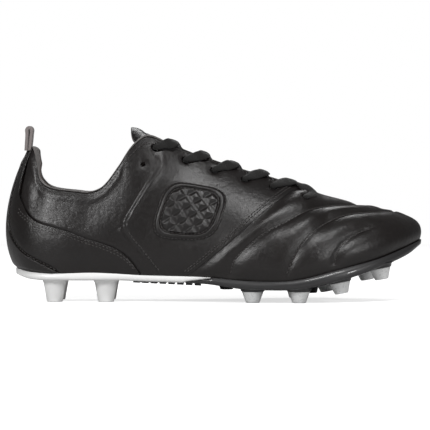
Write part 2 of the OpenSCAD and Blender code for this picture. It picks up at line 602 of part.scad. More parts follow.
// The studs behind this x reach the ground; those ahead of it lean forward by this angle
toe_studs_x = 60;
toe_stud_lean = 10;
function stud_ground(x) = x < toe_studs_x ? 0 : size * low_z(x) - stud_h;
function stud_tilt(x) = x < toe_studs_x ? 0 : toe_stud_lean;
module at_stud(s) {
    translate([size * s[0], size * s[1], stud_ground(s[0])])
        rotate([0, -stud_tilt(s[0]), 0]) children();
}
module forefoot_stud_tips() {
    color("#f2f2f0")
    for (s = forefoot_studs) at_stud(s)
        rotate_extrude($fn = 20) polygon([[0, 0], [tip_ground_r - 0.5, 0], [tip_ground_r, 0.5],
            [tip_top_r, tip_h], [core_r + layer_gap, tip_h],
            [core_r + layer_gap, tip_h - core_h - layer_gap], [0, tip_h - core_h - layer_gap]]);
}
module stud_base(s) {
    base_h = size * low_z(s[0]) - stud_ground(s[0]) - tip_h + 1.4;
    at_stud(s) {
        translate([0, 0, tip_h + 0.05]) cylinder(h = base_h, r1 = tip_top_r + 0.5,
            r2 = tip_top_r + 1.6, $fn = 24);
        translate([0, 0, tip_h - core_h]) cylinder(h = core_h + 1, r = core_r, $fn = 24);
    }
}
// Short black studs: [x, y, height of the end, radius, stretch along y]
low_studs = [[8, 0, 7.7, 4.5, 1], [40, 0, 7, 4.5, 1], [67, 0, 5.4, 3.6, 2.2]];
module forefoot_plate() {
    color("#161616")
    resize([0, 0, 0]) union() {
        slice(rim_out, forefoot_start, 146, forefoot_top, -top_drop, sole_low, 0);
        for (s = forefoot_studs) stud_base(s);
        for (s = low_studs)
            translate([size * s[0], size * s[1], size * s[2]]) scale([1, s[4], 1])
                cylinder(h = size * (low_z(s[0]) - s[2]) + 1.5, r1 = s[3], r2 = s[3] + 2, $fn = 24);
    }
}
module heel_plate() {
    color("#f4f4f2")
    resize([0, 0, 0]) union() {
        slice(rim_out, -146, wedge_tip.x, sole_top, -top_drop, heel_low, 0);
        for (s = heel_studs) translate([size * s[0], size * s[1], 0])
            cylinder(h = size * low_z(s[0]) + 1, r1 = heel_stud_ground_r, r2 = heel_stud_top_r,
                $fn = 32);
    }
}
bridge_w = 34;
bridge_x = [-56, -8.2];
rib_pitch = 6;
rib_share = 0.75;
module arch_bridge() {
    color("#141414")
    intersection() {
        translate([0, bridge_w / 2, 0]) rotate([90, 0, 0]) linear_extrude(bridge_w)
            polygon(size * [[bridge_x[0], low_z(bridge_x[0]) - 0.1],
                [-52, low_z(-52) - 0.1], [bridge_x[1], low_z(bridge_x[1]) - 0.1],
                [bridge_x[1], low_z(bridge_x[1]) - 2.4], [bridge_x[0], low_z(bridge_x[0]) - 1.9]]);
        union() {
            translate([size * bridge_x[0] - 1, -bridge_w / 2, 13.2 * size])
                cube([60 * size, bridge_w, 5]);
            for (x = [bridge_x[0]:rib_pitch:bridge_x[1]]) translate([size * x, -bridge_w / 2, 5])
                cube([rib_pitch * rib_share, bridge_w, 12]);
        }
    }
}
module insole_board() {
    color("#b9ab95")
    slice(-board_in, insole_x[0], insole_x[1], sole_top, board_t + board_lift, sole_top,
        board_lift);
}
module sockliner() {
    under = board_t + sockliner_lift;
    color("#4a4644")
    slice(-sockliner_in, insole_x[0], insole_x[1], sole_top, under + sockliner_t, sole_top, under);
}

forefoot_plate();
heel_plate();
forefoot_stud_tips();
arch_bridge();
insole_board();
sockliner();
vamp();
vamp_padding();
vamp_lining();
toe_puff();
quarter_lateral();
quarter_medial();
heel_overlay_lateral();
heel_overlay_medial();
heel_strip();
heel_counter();
collar_padding();
quarter_lining();
collar_binding();
pull_tab();
tongue_cover();
tongue_padding();
tongue_lining();
eyestay_lateral();
eyestay_medial();
lace();
lace_tips();
badge_lateral();
badge_medial();
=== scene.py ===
import math

import bmesh
import bpy
import numpy as np
from mathutils import Matrix, Vector
from mathutils.kdtree import KDTree


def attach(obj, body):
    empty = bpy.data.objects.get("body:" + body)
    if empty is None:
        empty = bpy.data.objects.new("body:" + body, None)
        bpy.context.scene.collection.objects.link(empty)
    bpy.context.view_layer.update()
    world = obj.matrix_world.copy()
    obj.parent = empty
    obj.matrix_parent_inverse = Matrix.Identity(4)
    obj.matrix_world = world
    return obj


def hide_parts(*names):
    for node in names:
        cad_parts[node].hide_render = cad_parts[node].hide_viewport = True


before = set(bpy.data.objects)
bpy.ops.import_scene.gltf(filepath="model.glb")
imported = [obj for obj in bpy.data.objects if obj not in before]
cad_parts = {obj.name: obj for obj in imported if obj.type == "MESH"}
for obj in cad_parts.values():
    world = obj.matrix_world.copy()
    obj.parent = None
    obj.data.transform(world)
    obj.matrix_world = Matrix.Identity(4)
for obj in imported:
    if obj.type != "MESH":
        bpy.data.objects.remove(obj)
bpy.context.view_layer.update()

# Lace-up soccer cleat, right foot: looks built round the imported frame, in metres.
# The upper follows the same surface as the CAD: k runs round the foot (0 heel, 12 toe tip,
# negative on the outer side) and v climbs from the sole edge (0) to the collar or crest (1).
# Design values below are in millimetres and are scaled to metres where a mesh is made.

MM = 0.001
UP = np.array([0.0, 0.0, 1.0])
TOE_K, CREST_K = 12.0, 7.9
# Steps in k and v over which the surface's slope is taken, and the highest v where it is taken
EDGE_STEP, WALL_STEP, WALL_HIGH_V = 0.02, 0.01, 0.97

# ---------------------------------------------------------------- surface of the upper
# Sole edge of the upper on each side: k, x, y, z
EDGE_LATERAL = [
    (0, -136, 0, 22.6), (1, -128, -20, 21), (2, -110, -29, 19.7), (3, -85, -31, 20.5),
    (4, -50, -31, 18.8), (5, -15, -35, 18), (6, 20, -41, 15.4), (7, 50, -45, 15.4),
    (8, 80, -42, 21.9), (9, 108, -31, 29), (10, 128, -14, 36), (11, 139, 2, 40.3),
    (12, 142, 12, 41.2)]
EDGE_MEDIAL = [
    (0, -136, 0, 22.6), (1, -128, 19, 21), (2, -110, 28, 19.7), (3, -80, 29, 20.5),
    (4, -40, 27, 18.8), (5, 0, 31, 17.5), (6, 35, 40, 15.4), (7, 65, 46, 18),
    (8, 90, 45, 24), (9, 118, 40, 32), (10, 136, 28, 39), (11, 141, 20, 40.8),
    (12, 142, 12, 41.2)]
# Collar, throat edge and crest: k, x, middle y, half width, z
TOP_LINE = [
    (0, -126, 0, 0, 107), (0.35, -124, 0, 8, 106), (0.8, -121.5, 0, 14, 97),
    (1.3, -119.5, 0, 18, 85), (1.8, -112, 0, 23, 79), (2.4, -95, 0, 26, 76.5),
    (2.8, -85, 0, 27, 76), (3.1, -76, 0, 27.5, 80), (3.5, -66, 0, 27, 93),
    (3.85, -57, 0, 25.5, 106.6), (4.15, -47, 0, 22, 114.5), (4.5, -36, 0, 18, 111.5),
    (5, -20, 0, 13, 104), (5.6, 0, 0.5, 11, 97), (6.2, 20, 0.5, 10, 90.5), (6.8, 40, 1, 9, 85),
    (7.4, 60, 1.5, 7.5, 78), (7.9, 72, 2, 0, 72.5), (8.6, 85, 3, 0, 69), (9.5, 97, 4.5, 0, 66),
    (10.6, 108, 6, 0, 64.2), (12, 118, 7.5, 0, 62.8)]
# Swell of the side wall: k, out at the sole, rise from it, out at the top, drop from it
SWELL = [
    (0, 14, 22.4, 14, 25), (1, 10, 20, 8, 22), (2, 7, 18, 5, 18), (3, 6, 18, 4, 20),
    (4, 8, 25, 6, 30), (5, 8, 26, 16, 22), (6, 7, 26, 22, 14), (7, 6, 22, 26, 10),
    (8, 6, 18, 30, 4), (9, 6, 15, 27, 2.4), (10, 5, 13, 22, 3), (11, 4.5, 11, 17, 2.2),
    (12, 4, 10.8, 16, 1.3)]


class Curve:
    """Smooth curve through control rows whose first entry is the parameter."""

    def __init__(self, rows, before=None, after=None):
        rows = np.array(rows, float)
        before = 2 * rows[0] - rows[1] if before is None else np.array(before, float)
        after = 2 * rows[-1] - rows[-2] if after is None else np.array(after, float)
        rows = np.vstack([before, rows, after])
        self.t, self.p = rows[:, 0], rows[:, 1:]
        self.m = (self.p[2:] - self.p[:-2]) / (self.t[2:] - self.t[:-2])[:, None]

    def __call__(self, t):
        t = np.asarray(t, float)
        i = np.clip(np.searchsorted(self.t, t) - 1, 1, len(self.t) - 3)
        h = self.t[i + 1] - self.t[i]
        s = ((t - self.t[i]) / h)[..., None]
        h = h[..., None]
        return ((2 * s**3 - 3 * s**2 + 1) * self.p[i] + (s**3 - 2 * s**2 + s) * h * self.m[i - 1]
                + (3 * s**2 - 2 * s**3) * self.p[i + 1] + (s**3 - s**2) * h * self.m[i])


def wrapped(rows, other):
    """A curve that runs on into its mirror side's rows at both ends."""
    return Curve(rows, (-other[1][0],) + tuple(other[1][1:]),
                 (2 * TOE_K - other[-2][0],) + tuple(other[-2][1:]))


edge_lateral = wrapped(EDGE_LATERAL, EDGE_MEDIAL)
edge_medial = wrapped(EDGE_MEDIAL, EDGE_LATERAL)
top_line = wrapped(TOP_LINE, [(r[0], r[1], r[2], -r[3], r[4]) for r in TOP_LINE])
swell = wrapped(SWELL, SWELL)


def unit(a):
    return a / np.maximum(np.linalg.norm(a, axis=-1, keepdims=True), 1e-12)


def mix(a, b, t):
    return a + (b - a) * t


def smoothstep(x):
    x = np.clip(x, 0, 1)
    return x * x * (3 - 2 * x)


def ramp(x, start, width):
    """Smooth climb from 0 at start to 1 a width further on."""
    return smoothstep((x - start) / width)


def bell(x, middle, width):
    """Smooth bump, 1 high at the middle."""
    return np.exp(-((x - middle) / width)**2)


def together(*values):
    """The values as float arrays of one shape."""
    return np.broadcast_arrays(*[np.asarray(value, float) for value in values])


def edge_at(k, u):
    lateral = (k < 0)[..., None]
    return np.where(lateral, edge_lateral(u), edge_medial(u))


def side_of(k):
    return np.where(k < 0, -1.0, 1.0)


def edge_out(k):
    """Direction out of the sole edge, level with the ground."""
    u = np.abs(k)
    d = edge_at(k, u + EDGE_STEP) - edge_at(k, u - EDGE_STEP)
    out = np.stack([-d[..., 1], d[..., 0], np.zeros_like(u)], -1)
    return unit(out) * side_of(k)[..., None]


def edge_point(k):
    return edge_at(k, np.abs(k))


def wall_at(k, v):
    """Points on the bare surface of the upper."""
    k, v = together(k, v)
    k = np.where(k > TOE_K, k - 2 * TOE_K, np.where(k < -TOE_K, k + 2 * TOE_K, k))
    u = np.abs(k)
    a, out, w = edge_point(k), edge_out(k), swell(u)
    t = top_line(u)
    d = np.stack([t[..., 0], t[..., 1] + side_of(k) * np.maximum(t[..., 2], 0), t[..., 3]], -1)
    b = a + out * w[..., 0:1] + UP * w[..., 1:2]
    c = d + out * w[..., 2:3] - UP * w[..., 3:4]
    v = v[..., None]
    return (1 - v)**3 * a + 3 * v * (1 - v)**2 * b + 3 * v**2 * (1 - v) * c + v**3 * d


def wall_normal(k, v):
    """Directions out of the upper."""
    k, v = together(k, v)
    mid = np.clip(v, WALL_STEP, WALL_HIGH_V)

    def face(at):
        return unit(np.cross(wall_at(at, mid + WALL_STEP) - wall_at(at, mid - WALL_STEP),
                             wall_at(at + WALL_STEP, mid) - wall_at(at - WALL_STEP, mid)))
    n = face(k)
    crest = (v > 0.999) & (np.abs(k) >= CREST_K - 0.001)
    return np.where(crest[..., None], unit(n + face(-k)), n)


def skin(k, v, off):
    """Points on the upper, moved out of it by off millimetres."""
    off = np.asarray(off, float)
    return wall_at(k, v) + wall_normal(k, v) * off[..., None]


def on_skin(side, k, v, off):
    """One point on this side of the upper."""
    return skin(np.array(side * k), np.array(v), off)


# ---------------------------------------------------------------- layers and seam lines
LEATHER_T = 1.4
LINING_OUT, LINING_IN = -4.4, -5.2
TONGUE_OUT, TONGUE_MID, TONGUE_IN = -5.8, -8.4, -11.4
FOOT_V, COLLAR_V, COLLAR_END_K = -0.01, 0.982, 4.6
LATERAL, MEDIAL = -1, 1
vamp_seam = Curve([(0, 4.82), (0.28, 5.67), (0.48, 6.27), (0.7, 6.83), (0.885, 7.15), (1, 7.3)])
strip_edge = Curve([(0, 2.24), (0.1, 1.78), (0.16, 1.37), (0.22, 0.9), (0.28, 0.56),
                    (0.36, 0.3), (0.56, 0.14), (0.975, 0.12)])
overlay_edge = Curve([(0, 4, FOOT_V), (0.17, 3.72, 0.165), (0.34, 3.3, 0.31), (0.5, 2.75, 0.44),
                      (0.64, 2.0, 0.535), (0.75, 1.2, 0.56), (0.83, 0.66, 0.57),
                      (0.9, 0.42, 0.72), (1, 0.3, COLLAR_V)])
EYELETS = [(4.37, 0.91), (5.02, 0.9), (5.62, 0.88), (6.25, 0.866), (6.81, 0.855), (7.42, 0.81)]
EYELET_R = 2.6
SPARE_EYELET, SPARE_R = (4.1, 0.793), 1.4


def vamp_k(v):
    return vamp_seam(v)[..., 0]


def vamp_bow(v):
    """How far the vamp seam bows away from a straight line, in k."""
    return vamp_k(v) - (vamp_k(0.0) + (vamp_k(1.0) - vamp_k(0.0)) * v)


def strip_k(v):
    return strip_edge(v)[..., 0]


# ---------------------------------------------------------------- mesh helpers
# Distances in mm: welding, rows beside a rounded edge, and the least step between rows
WELD, FINE_WELD, LEAST_STEP = 0.004, 0.002, 0.1
EDGE_ROWS = (0.12, 0.3, 0.6, 1.0, 1.6)
# About how many mm one step of k and one of v cover, to space a seam's points evenly
SEAM_SCALE = np.array([30, 60])


def linked(name, data):
    """A new object with this data, in the scene."""
    obj = bpy.data.objects.new(name, data)
    bpy.context.scene.collection.objects.link(obj)
    return obj


def shade_smooth(mesh):
    mesh.polygons.foreach_set("use_smooth", [True] * len(mesh.polygons))


def new_object(name, verts, faces):
    mesh = bpy.data.meshes.new(name)
    mesh.from_pydata([tuple(p) for p in np.asarray(verts, float)], [], [tuple(f) for f in faces])
    mesh.update()
    shade_smooth(mesh)
    return linked(name, mesh)


def weld(obj, dist):
    """Joins points that lie within dist metres of each other."""
    bm = bmesh.new()
    bm.from_mesh(obj.data)
    bmesh.ops.remove_doubles(bm, verts=bm.verts, dist=dist)
    bmesh.ops.dissolve_degenerate(bm, edges=bm.edges, dist=dist)
    bmesh.ops.recalc_face_normals(bm, faces=bm.faces)
    bm.to_mesh(obj.data)
    bm.free()
    shade_smooth(obj.data)
    return obj


def apply_modifiers(obj):
    graph = bpy.context.evaluated_depsgraph_get()
    mesh = bpy.data.meshes.new_from_object(obj.evaluated_get(graph))
    obj.modifiers.clear()
    obj.data = mesh


def steps_with_edges(n, length, end=True):
    """Parameters 0 to 1 along a run of this length, with rows packed close to its ends."""
    close = np.array(EDGE_ROWS) / length
    t = np.concatenate([np.linspace(0, 1, n + 1), close, 1 - close if end else []])
    t = np.unique(np.round(t, 6))
    keep = [t[0]]
    for x in t[1:]:
        if (x - keep[-1]) * length > LEAST_STEP:
            keep.append(x)
    keep[-1] = 1.0
    return np.array(keep)


def run_lengths(points, axis):
    """Distance in mm of each grid point from the first and the last point along an axis."""
    d = np.linalg.norm(np.diff(points, axis=axis), axis=-1)
    shape = list(d.shape)
    shape[axis] = 1
    go = np.concatenate([np.zeros(shape), np.cumsum(d, axis=axis)], axis=axis)
    total = np.take(go, [-1], axis=axis)
    return go, total - go


def rounded(d, r):
    """How far a rounded edge of radius r drops at distance d from the edge."""
    x = np.clip(1 - d / r, 0, 1)
    return r * (1 - np.sqrt(np.maximum(1 - x * x, 0)))


def grid_faces(cols, rows, start, flip):
    """Quads of a grid of points numbered column by column from start."""
    c, r = np.meshgrid(np.arange(cols - 1), np.arange(rows - 1), indexing="ij")
    a = (start + c * rows + r).ravel()
    quads = np.stack([a, a + rows, a + rows + 1, a + 1], -1)
    return quads[:, ::-1] if flip else quads


def wall_faces(cols, rows, start, walls):
    """Quads that join an outer grid to the inner grid behind it, along the named sides.

    In walls, s and e are the first and the last column, and b and t the bottom and the top.
    """
    n = cols * rows
    ids = start + np.arange(n).reshape(cols, rows)
    runs = {"s": ids[0], "e": ids[-1][::-1], "b": ids[::-1, 0], "t": ids[:, -1]}
    faces = []
    for side in walls:
        run = runs[side]
        for a, b in zip(run[:-1], run[1:]):
            faces.append((a, b, b + n, a + n))
    return faces


def solid_grids(name, grids):
    """One closed mesh from (outer points, inner points, walls) grids, welded where they meet."""
    verts, faces, start = [], [], 0
    for outer, inner, walls in grids:
        cols, rows = outer.shape[:2]
        n = cols * rows
        verts += [outer.reshape(-1, 3), inner.reshape(-1, 3)]
        faces += grid_faces(cols, rows, start, False).tolist()
        faces += grid_faces(cols, rows, start + n, True).tolist()
        faces += wall_faces(cols, rows, start, walls)
        start += 2 * n
    return weld(new_object(name, np.vstack(verts) * MM, faces), WELD * MM)


def shell(name, outer, inner, walls="sebt"):
    return solid_grids(name, [(outer, inner, walls)])


def around(n):
    """Angles of n points spaced evenly round a circle."""
    return np.linspace(0, 2 * math.pi, n + 1)[:-1]


def run_along(points):
    """How far along a polyline each of its points lies."""
    return np.concatenate([[0], np.cumsum(np.linalg.norm(np.diff(points, axis=0), axis=1))])


def along(points, pitch):
    """Points spaced evenly, pitch millimetres apart, along a polyline, and their directions."""
    run, reach = run_along(points), 0.2
    at = np.arange(0, run[-1], pitch)

    def place(where):
        return np.stack([np.interp(where, run, points[:, i]) for i in range(3)], 1)
    ahead, behind = np.minimum(at + reach, run[-1]), np.maximum(at - reach, 0)
    return place(at), unit(place(ahead) - place(behind))


def line_distance(points, line):
    """Distance from each point to a polyline, in mm, and how far along it the nearest place is."""
    flat = points.reshape(-1, 3)
    a, b = line[:-1], line[1:]
    ab = b - a
    ab2 = np.maximum((ab * ab).sum(1), 1e-9)
    s0 = np.concatenate([[0], np.cumsum(np.sqrt(ab2))])[:-1]
    best = np.full(len(flat), 1e9)
    run = np.zeros(len(flat))
    for i in range(len(a)):
        t = np.clip(((flat - a[i]) @ ab[i]) / ab2[i], 0, 1)
        d = np.linalg.norm(flat - a[i] - t[:, None] * ab[i], axis=1)
        near = d < best
        best = np.where(near, d, best)
        run = np.where(near, s0[i] + t * math.sqrt(ab2[i]), run)
    return best.reshape(points.shape[:-1]), run.reshape(points.shape[:-1])


def smooth_path(rows, n):
    """Smooth run of n points through rows, spaced by the length between them."""
    rows = np.array(rows, float)
    run = run_along(rows)
    return Curve(np.column_stack([run / run[-1], rows]))(np.linspace(0, 1, n))


def seam_points(kv, side, n):
    """Smooth seam of n points on the upper through (k, v) rows given for the medial side."""
    path = smooth_path(np.array(kv, float) * SEAM_SCALE, n) / SEAM_SCALE
    return wall_at(side * path[:, 0], path[:, 1])


# ---------------------------------------------------------------- relief of the leather
# Quilting lines of the vamp, as (k, v) on one side; A and B carry on over the crest
QUILT_A = [(5.71, 0.037), (5.82, 0.163), (6.15, 0.284), (6.62, 0.427), (7.0, 0.525), (7.54, 0.685),
           (8.11, 0.786), (9.1, 0.898), (9.75, 1.0)]
QUILT_B = [(6.93, 0.055), (7.01, 0.138), (7.15, 0.253), (7.35, 0.369), (7.66, 0.488),
           (8.27, 0.631), (8.97, 0.702), (10.4, 0.79), (11.95, 0.871)]
QUILT_C = [(8.0, 0.095), (8.06, 0.216), (8.27, 0.328), (8.64, 0.409), (9.21, 0.474), (9.9, 0.515)]
QUILT_PUFF, QUILT_REACH, QUILT_GROOVE, QUILT_WIDTH, QUILT_FADE = 1.5, 5.0, 0.75, 1.3, 9.0
# Crease down the quarter: k at each height v, moulded above the turn and stitched below it
crease_line = Curve([(0, 4.39), (0.17, 4.07), (0.335, 3.77), (0.46, 3.69), (0.62, 4.08),
                     (0.757, 4.37), (0.86, 4.4), (1, 4.36)])
CREASE_TURN_V, CREASE_STAR_V = 0.44, 0.455
# About how many mm one step of k and one of v cover at the crease
CREASE_K_MM, CREASE_V_MM = 33, 75


def fade_in(d, reach):
    """Climb from 0 that is nearly 1 at twice the reach."""
    return 1 - bell(d, 0, reach)


def quilt_paths():
    """Both sides' quilting lines, and whether each fades out before its end."""
    paths = []
    for rows, fades in ((QUILT_A, False), (QUILT_B, False), (QUILT_C, True)):
        for side in (LATERAL, MEDIAL):
            paths.append((seam_points(rows, side, 60), fades))
    return paths


def vamp_relief(k, v, points):
    """Padded channels between the quilting lines."""
    near = np.full(k.shape, 1e9)
    for path, fades in quilt_paths():
        d, run = line_distance(points, path)
        share = run / run_along(path)[-1]
        near = np.minimum(near, d + fades * QUILT_FADE * ramp(share, 0.55, 0.45))
    foot, back = run_lengths(points, 1)[0], run_lengths(points, 0)[0]
    toe = 1 - ramp(np.abs(k), 10.2, 1.4) * ramp(v, 0.3, 0.4)
    puff = QUILT_PUFF * fade_in(near, QUILT_REACH) * fade_in(foot, 9) * ramp(back, 2, 9) * toe
    return puff - QUILT_GROOVE * bell(near, 0, QUILT_WIDTH) * ramp(back, 0, 3)


def crease_rows(low, high):
    return [(float(crease_line(v)[0]), v) for v in np.linspace(low, high, 24)]


def crease_relief(k, v, points, side):
    """Moulded ridge down the quarter, with the front of it fuller than the back."""
    ahead = (np.abs(k) - crease_line(v)[..., 0]) * CREASE_K_MM
    d_top = line_distance(points, seam_points(crease_rows(CREASE_TURN_V, 0.86), side, 90))[0]
    d_low = line_distance(points, seam_points(crease_rows(0.015, CREASE_TURN_V), side, 70))[0]
    upper = ramp(v, CREASE_TURN_V - 0.05, 0.1) * (1 - ramp(v, 0.8, 0.12))
    front = smoothstep(ahead / 2.6 + 0.5) * bell(ahead, 0, 15)
    ridge = 0.9 * bell(ahead, 2.6, 2.8) * upper
    groove = 0.7 * bell(d_top, 0, 1.9) * upper + 0.5 * bell(d_low, 0, 1.2)
    star_rise = (v - CREASE_STAR_V) * CREASE_V_MM
    spokes = np.sin(np.arctan2(star_rise, ahead) * 5)
    near_turn = bell(np.hypot(star_rise, ahead), 3.5, 2.6)
    return 0.6 * front + ridge - groove + 0.2 * spokes * near_turn


def soft_wrinkles(points, size, depth):
    """Slow uneven waves, so that stretched leather doesn't look machined."""
    p = points / size
    wave = (np.sin(p[..., 0] * 1.7 + 1.3 * np.sin(p[..., 2] * 1.1)) * np.sin(p[..., 2] * 2.3 + 0.7)
            + 0.5 * np.sin(p[..., 0] * 3.9 - p[..., 2] * 2.7 + p[..., 1] * 1.9))
    return depth * wave


def hole_dimple(points, side, holes, radius):
    """How far leather dips around holes."""
    dip = np.zeros(points.shape[:-1])
    for k, v in holes:
        d = np.linalg.norm(points - wall_at(side * k, v), axis=-1)
        dip += 0.5 * bell(np.maximum(d, radius), radius, 1.6)
    return dip


def panel(name, k, v, relief, radius=1.1, top=0.0):
    """A leather panel from grids of k and v, with relief on the outside and three rounded edges.

    The lower edge stays square on the sole; from there the panel rises to top mm off the surface.
    """
    base = wall_at(k, v)
    go, back = run_lengths(base, 0)
    low, high = run_lengths(base, 1)
    lift = relief(k, v, base) + top * ramp(low, 0, 6)
    for d in (go, back, high):
        lift = lift - rounded(d, radius)
    outer = base + wall_normal(k, v) * lift[..., None]
    return shell(name, outer, skin(k, v, np.full(k.shape, -LEATHER_T)))


# ---------------------------------------------------------------- quarters and heel panels
QUARTER_COLUMNS, QUARTER_ROWS, QUARTER_LENGTH, WALL_HEIGHT = 130, 84, 130, 60


# Heel panels: radius of the edges, height off the surface, lap under the strip, and how the
# grids crowd towards the sole
OVERLAY_RADIUS, OVERLAY_TOP, STRIP_RADIUS, STRIP_TOP = 0.7, 0.85, 0.8, 1.55
STRIP_LAP_K, UPWARD_CROWD = 0.03, 1.3


def mirrored(k, v):
    """The same grids on the lateral side, end for end so that their faces still look outwards."""
    return -k[::-1], v[::-1]


def quarter_grid(side):
    """Grids of k and v; the first columns' feet climb along the heel overlay's edge."""
    s = steps_with_edges(QUARTER_COLUMNS, QUARTER_LENGTH)[:, None]
    t = steps_with_edges(QUARTER_ROWS, WALL_HEIGHT)[None, :]
    turn = 0.8
    run = overlay_edge(mix(0.83, 0, np.clip(s[:, 0] / turn, 0, 1)))
    ahead = np.clip((s - turn) / (1 - turn), 0, 1)
    low_k = np.where(s < turn, run[:, :1], mix(4.0, vamp_k(0.0) + 0.05, ahead))
    low_v = np.where(s < turn, np.maximum(run[:, 1:] - 0.02, FOOT_V), FOOT_V)
    high_k = mix(0.3, vamp_k(1.0) + 0.05, s)
    high_v = mix(COLLAR_V, 1.0, smoothstep((high_k - COLLAR_END_K) / 0.3))
    v = mix(low_v, high_v, t)
    k = mix(low_k, high_k, t) + s**4 * vamp_bow(v)
    return mirrored(k, v) if side == LATERAL else (k, v)


def quarter(name, side):
    """Side panel with its crease, its eyelets and a groove where the heel overlay ends."""
    k, v = quarter_grid(side)
    overlay_line = seam_points(overlay_edge(np.linspace(0, 0.9, 40)), side, 160)

    def relief(k, v, points):
        lift = crease_relief(k, v, points, side) + soft_wrinkles(points, 14, 0.07)
        lift -= hole_dimple(points, side, EYELETS, EYELET_R)
        lift -= hole_dimple(points, side, [SPARE_EYELET], SPARE_R)
        lift -= 0.6 * bell(line_distance(points, overlay_line)[0], 0, 1.3)
        collar = bell(v, 0.9, 0.05) * (np.abs(k) < 3.6)
        return lift + 0.5 * collar + 0.35 * ramp(np.abs(k), 4.5, 0.6)
    obj = panel(name, k, v, relief)
    cut_holes(obj, side, EYELETS[:-1], EYELET_R)
    cut_holes(obj, side, [SPARE_EYELET], SPARE_R)
    return obj


def cut_holes(obj, side, holes, radius):
    """Punches round holes along the upper's normal."""
    bm = bmesh.new()
    for k, v in holes:
        at = on_skin(side, k, v, -1.0) * MM
        turn = Vector(wall_normal(side * k, v)).to_track_quat("Z", "Y")
        place = Matrix.Translation(at) @ turn.to_matrix().to_4x4()
        bmesh.ops.create_cone(bm, cap_ends=True, segments=28, radius1=radius * MM,
                              radius2=radius * 1.12 * MM, depth=9 * MM, matrix=place)
    mesh = bpy.data.meshes.new("punch")
    bm.to_mesh(mesh)
    bm.free()
    punch = linked("punch", mesh)
    cut = obj.modifiers.new("holes", "BOOLEAN")
    cut.operation, cut.object, cut.solver = "DIFFERENCE", punch, "EXACT"
    apply_modifiers(obj)
    bpy.data.objects.remove(punch)
    bpy.data.meshes.remove(mesh)


def heel_overlay(name, side):
    """Low panel round one side of the heel, between its curved edge and the strip."""
    s = steps_with_edges(90, 110)[:, None]
    w = steps_with_edges(46, 60)[None, :]
    run = overlay_edge(s[:, 0])
    v_in = mix(FOOT_V, COLLAR_V, s**UPWARD_CROWD)
    k = mix(strip_k(v_in[:, 0])[:, None] - STRIP_LAP_K, run[:, :1], w)
    v = mix(v_in, run[:, 1:], w)
    k, v = k[::-1], v[::-1]
    if side == LATERAL:
        k, v = mirrored(k, v)
    return panel(name, k, v, lambda k, v, points: soft_wrinkles(points, 16, 0.06),
                 OVERLAY_RADIUS, OVERLAY_TOP)


def heel_strip(name):
    """Strip up the back of the heel, over both overlays."""
    w = steps_with_edges(40, 40)[:, None]
    t = steps_with_edges(90, 85)[None, :]
    v = mix(FOOT_V, COLLAR_V, t**UPWARD_CROWD) + 0 * w
    k = mix(-1, 1, w) * strip_k(v)

    def relief(k, v, points):
        return 0.25 * np.sin(points[..., 2] * 0.55) * bell(v, 0.88, 0.07)
    return panel(name, k, v, relief, STRIP_RADIUS, STRIP_TOP)


# ---------------------------------------------------------------- vamp and vamp lining
VAMP_HEIGHT, LINING_TOP_V = 80, 0.75


def vamp_grid(rows, columns, top_v):
    """Medial grids of k and v from the throat to the toe tip; columns that end at the throat."""
    seam_columns = np.array([0.3, 0.8, 1.5]) / 90
    j = np.unique(np.concatenate([np.linspace(0, 1, columns), seam_columns]))[:, None]
    open_share = 0.2
    foot = mix(vamp_k(0.0), TOE_K, j)
    high = np.where(j < open_share, mix(vamp_k(1.0), CREST_K, j / open_share),
                    mix(CREST_K, TOE_K, (j - open_share) / (1 - open_share)))
    limit = mix(top_v, 1.0, smoothstep(j / open_share)) if top_v < 1 else np.ones_like(j)
    t = steps_with_edges(rows, VAMP_HEIGHT, end=False)[None, :]
    v = mix(FOOT_V, limit, t)
    k = mix(foot, high, v) + (1 - j) * vamp_bow(v)
    return k, np.minimum(v, 1.0), j[:, 0] < open_share - 1e-9


def vamp_shell(name, rows, columns, top_v, outer_off, inner_off, relief):
    """Both halves of a sheet that wraps over the crest, welded along the crest and the toe tip."""
    k, v, is_open = vamp_grid(rows, columns, top_v)
    split = int(is_open.sum())
    grids = []
    for side in (MEDIAL, LATERAL):
        kk, vv = (k, v) if side == MEDIAL else mirrored(k, v)
        base = wall_at(kk, vv)
        lift = relief(kk, vv, base) + outer_off
        outer = base + wall_normal(kk, vv) * lift[..., None]
        inner = skin(kk, vv, np.full(kk.shape, inner_off))
        if side == MEDIAL:
            grids.append((outer[:split + 1], inner[:split + 1], "sbt"))
            grids.append((outer[split:], inner[split:], "b"))
        else:
            cut = kk.shape[0] - split - 1
            grids.append((outer[:cut + 1], inner[:cut + 1], "b"))
            grids.append((outer[cut:], inner[cut:], "ebt"))
    return solid_grids(name, grids)


def vamp(name):
    """Quilted front panel, thinned along its seam, with the front pair of eyelets."""
    def relief(k, v, points):
        from_seam = slice(None, None, -1 if k[0, 0] < 0 else 1)
        edge = run_lengths(points[from_seam], 0)[0][from_seam]
        lift = vamp_relief(k[from_seam], v[from_seam], points[from_seam])[from_seam]
        lift = lift - rounded(edge, 0.7) * 0.8 - 0.25 * np.exp(-edge / 4)
        for side in (LATERAL, MEDIAL):
            lift = lift - hole_dimple(points, side, EYELETS[-1:], EYELET_R)
        return lift + soft_wrinkles(points, 15, 0.06)
    obj = vamp_shell(name, 92, 120, 1.0, 0.0, -LEATHER_T, relief)
    for side in (LATERAL, MEDIAL):
        cut_holes(obj, side, EYELETS[-1:], EYELET_R)
    return obj


def vamp_lining(name):
    return vamp_shell(name, 22, 44, LINING_TOP_V, LINING_OUT, LINING_IN,
                      lambda k, v, points: np.zeros(k.shape))


# ---------------------------------------------------------------- collar: bead, lining, padding
BEAD_PROUD, BEAD_T = 0.35, 0.9
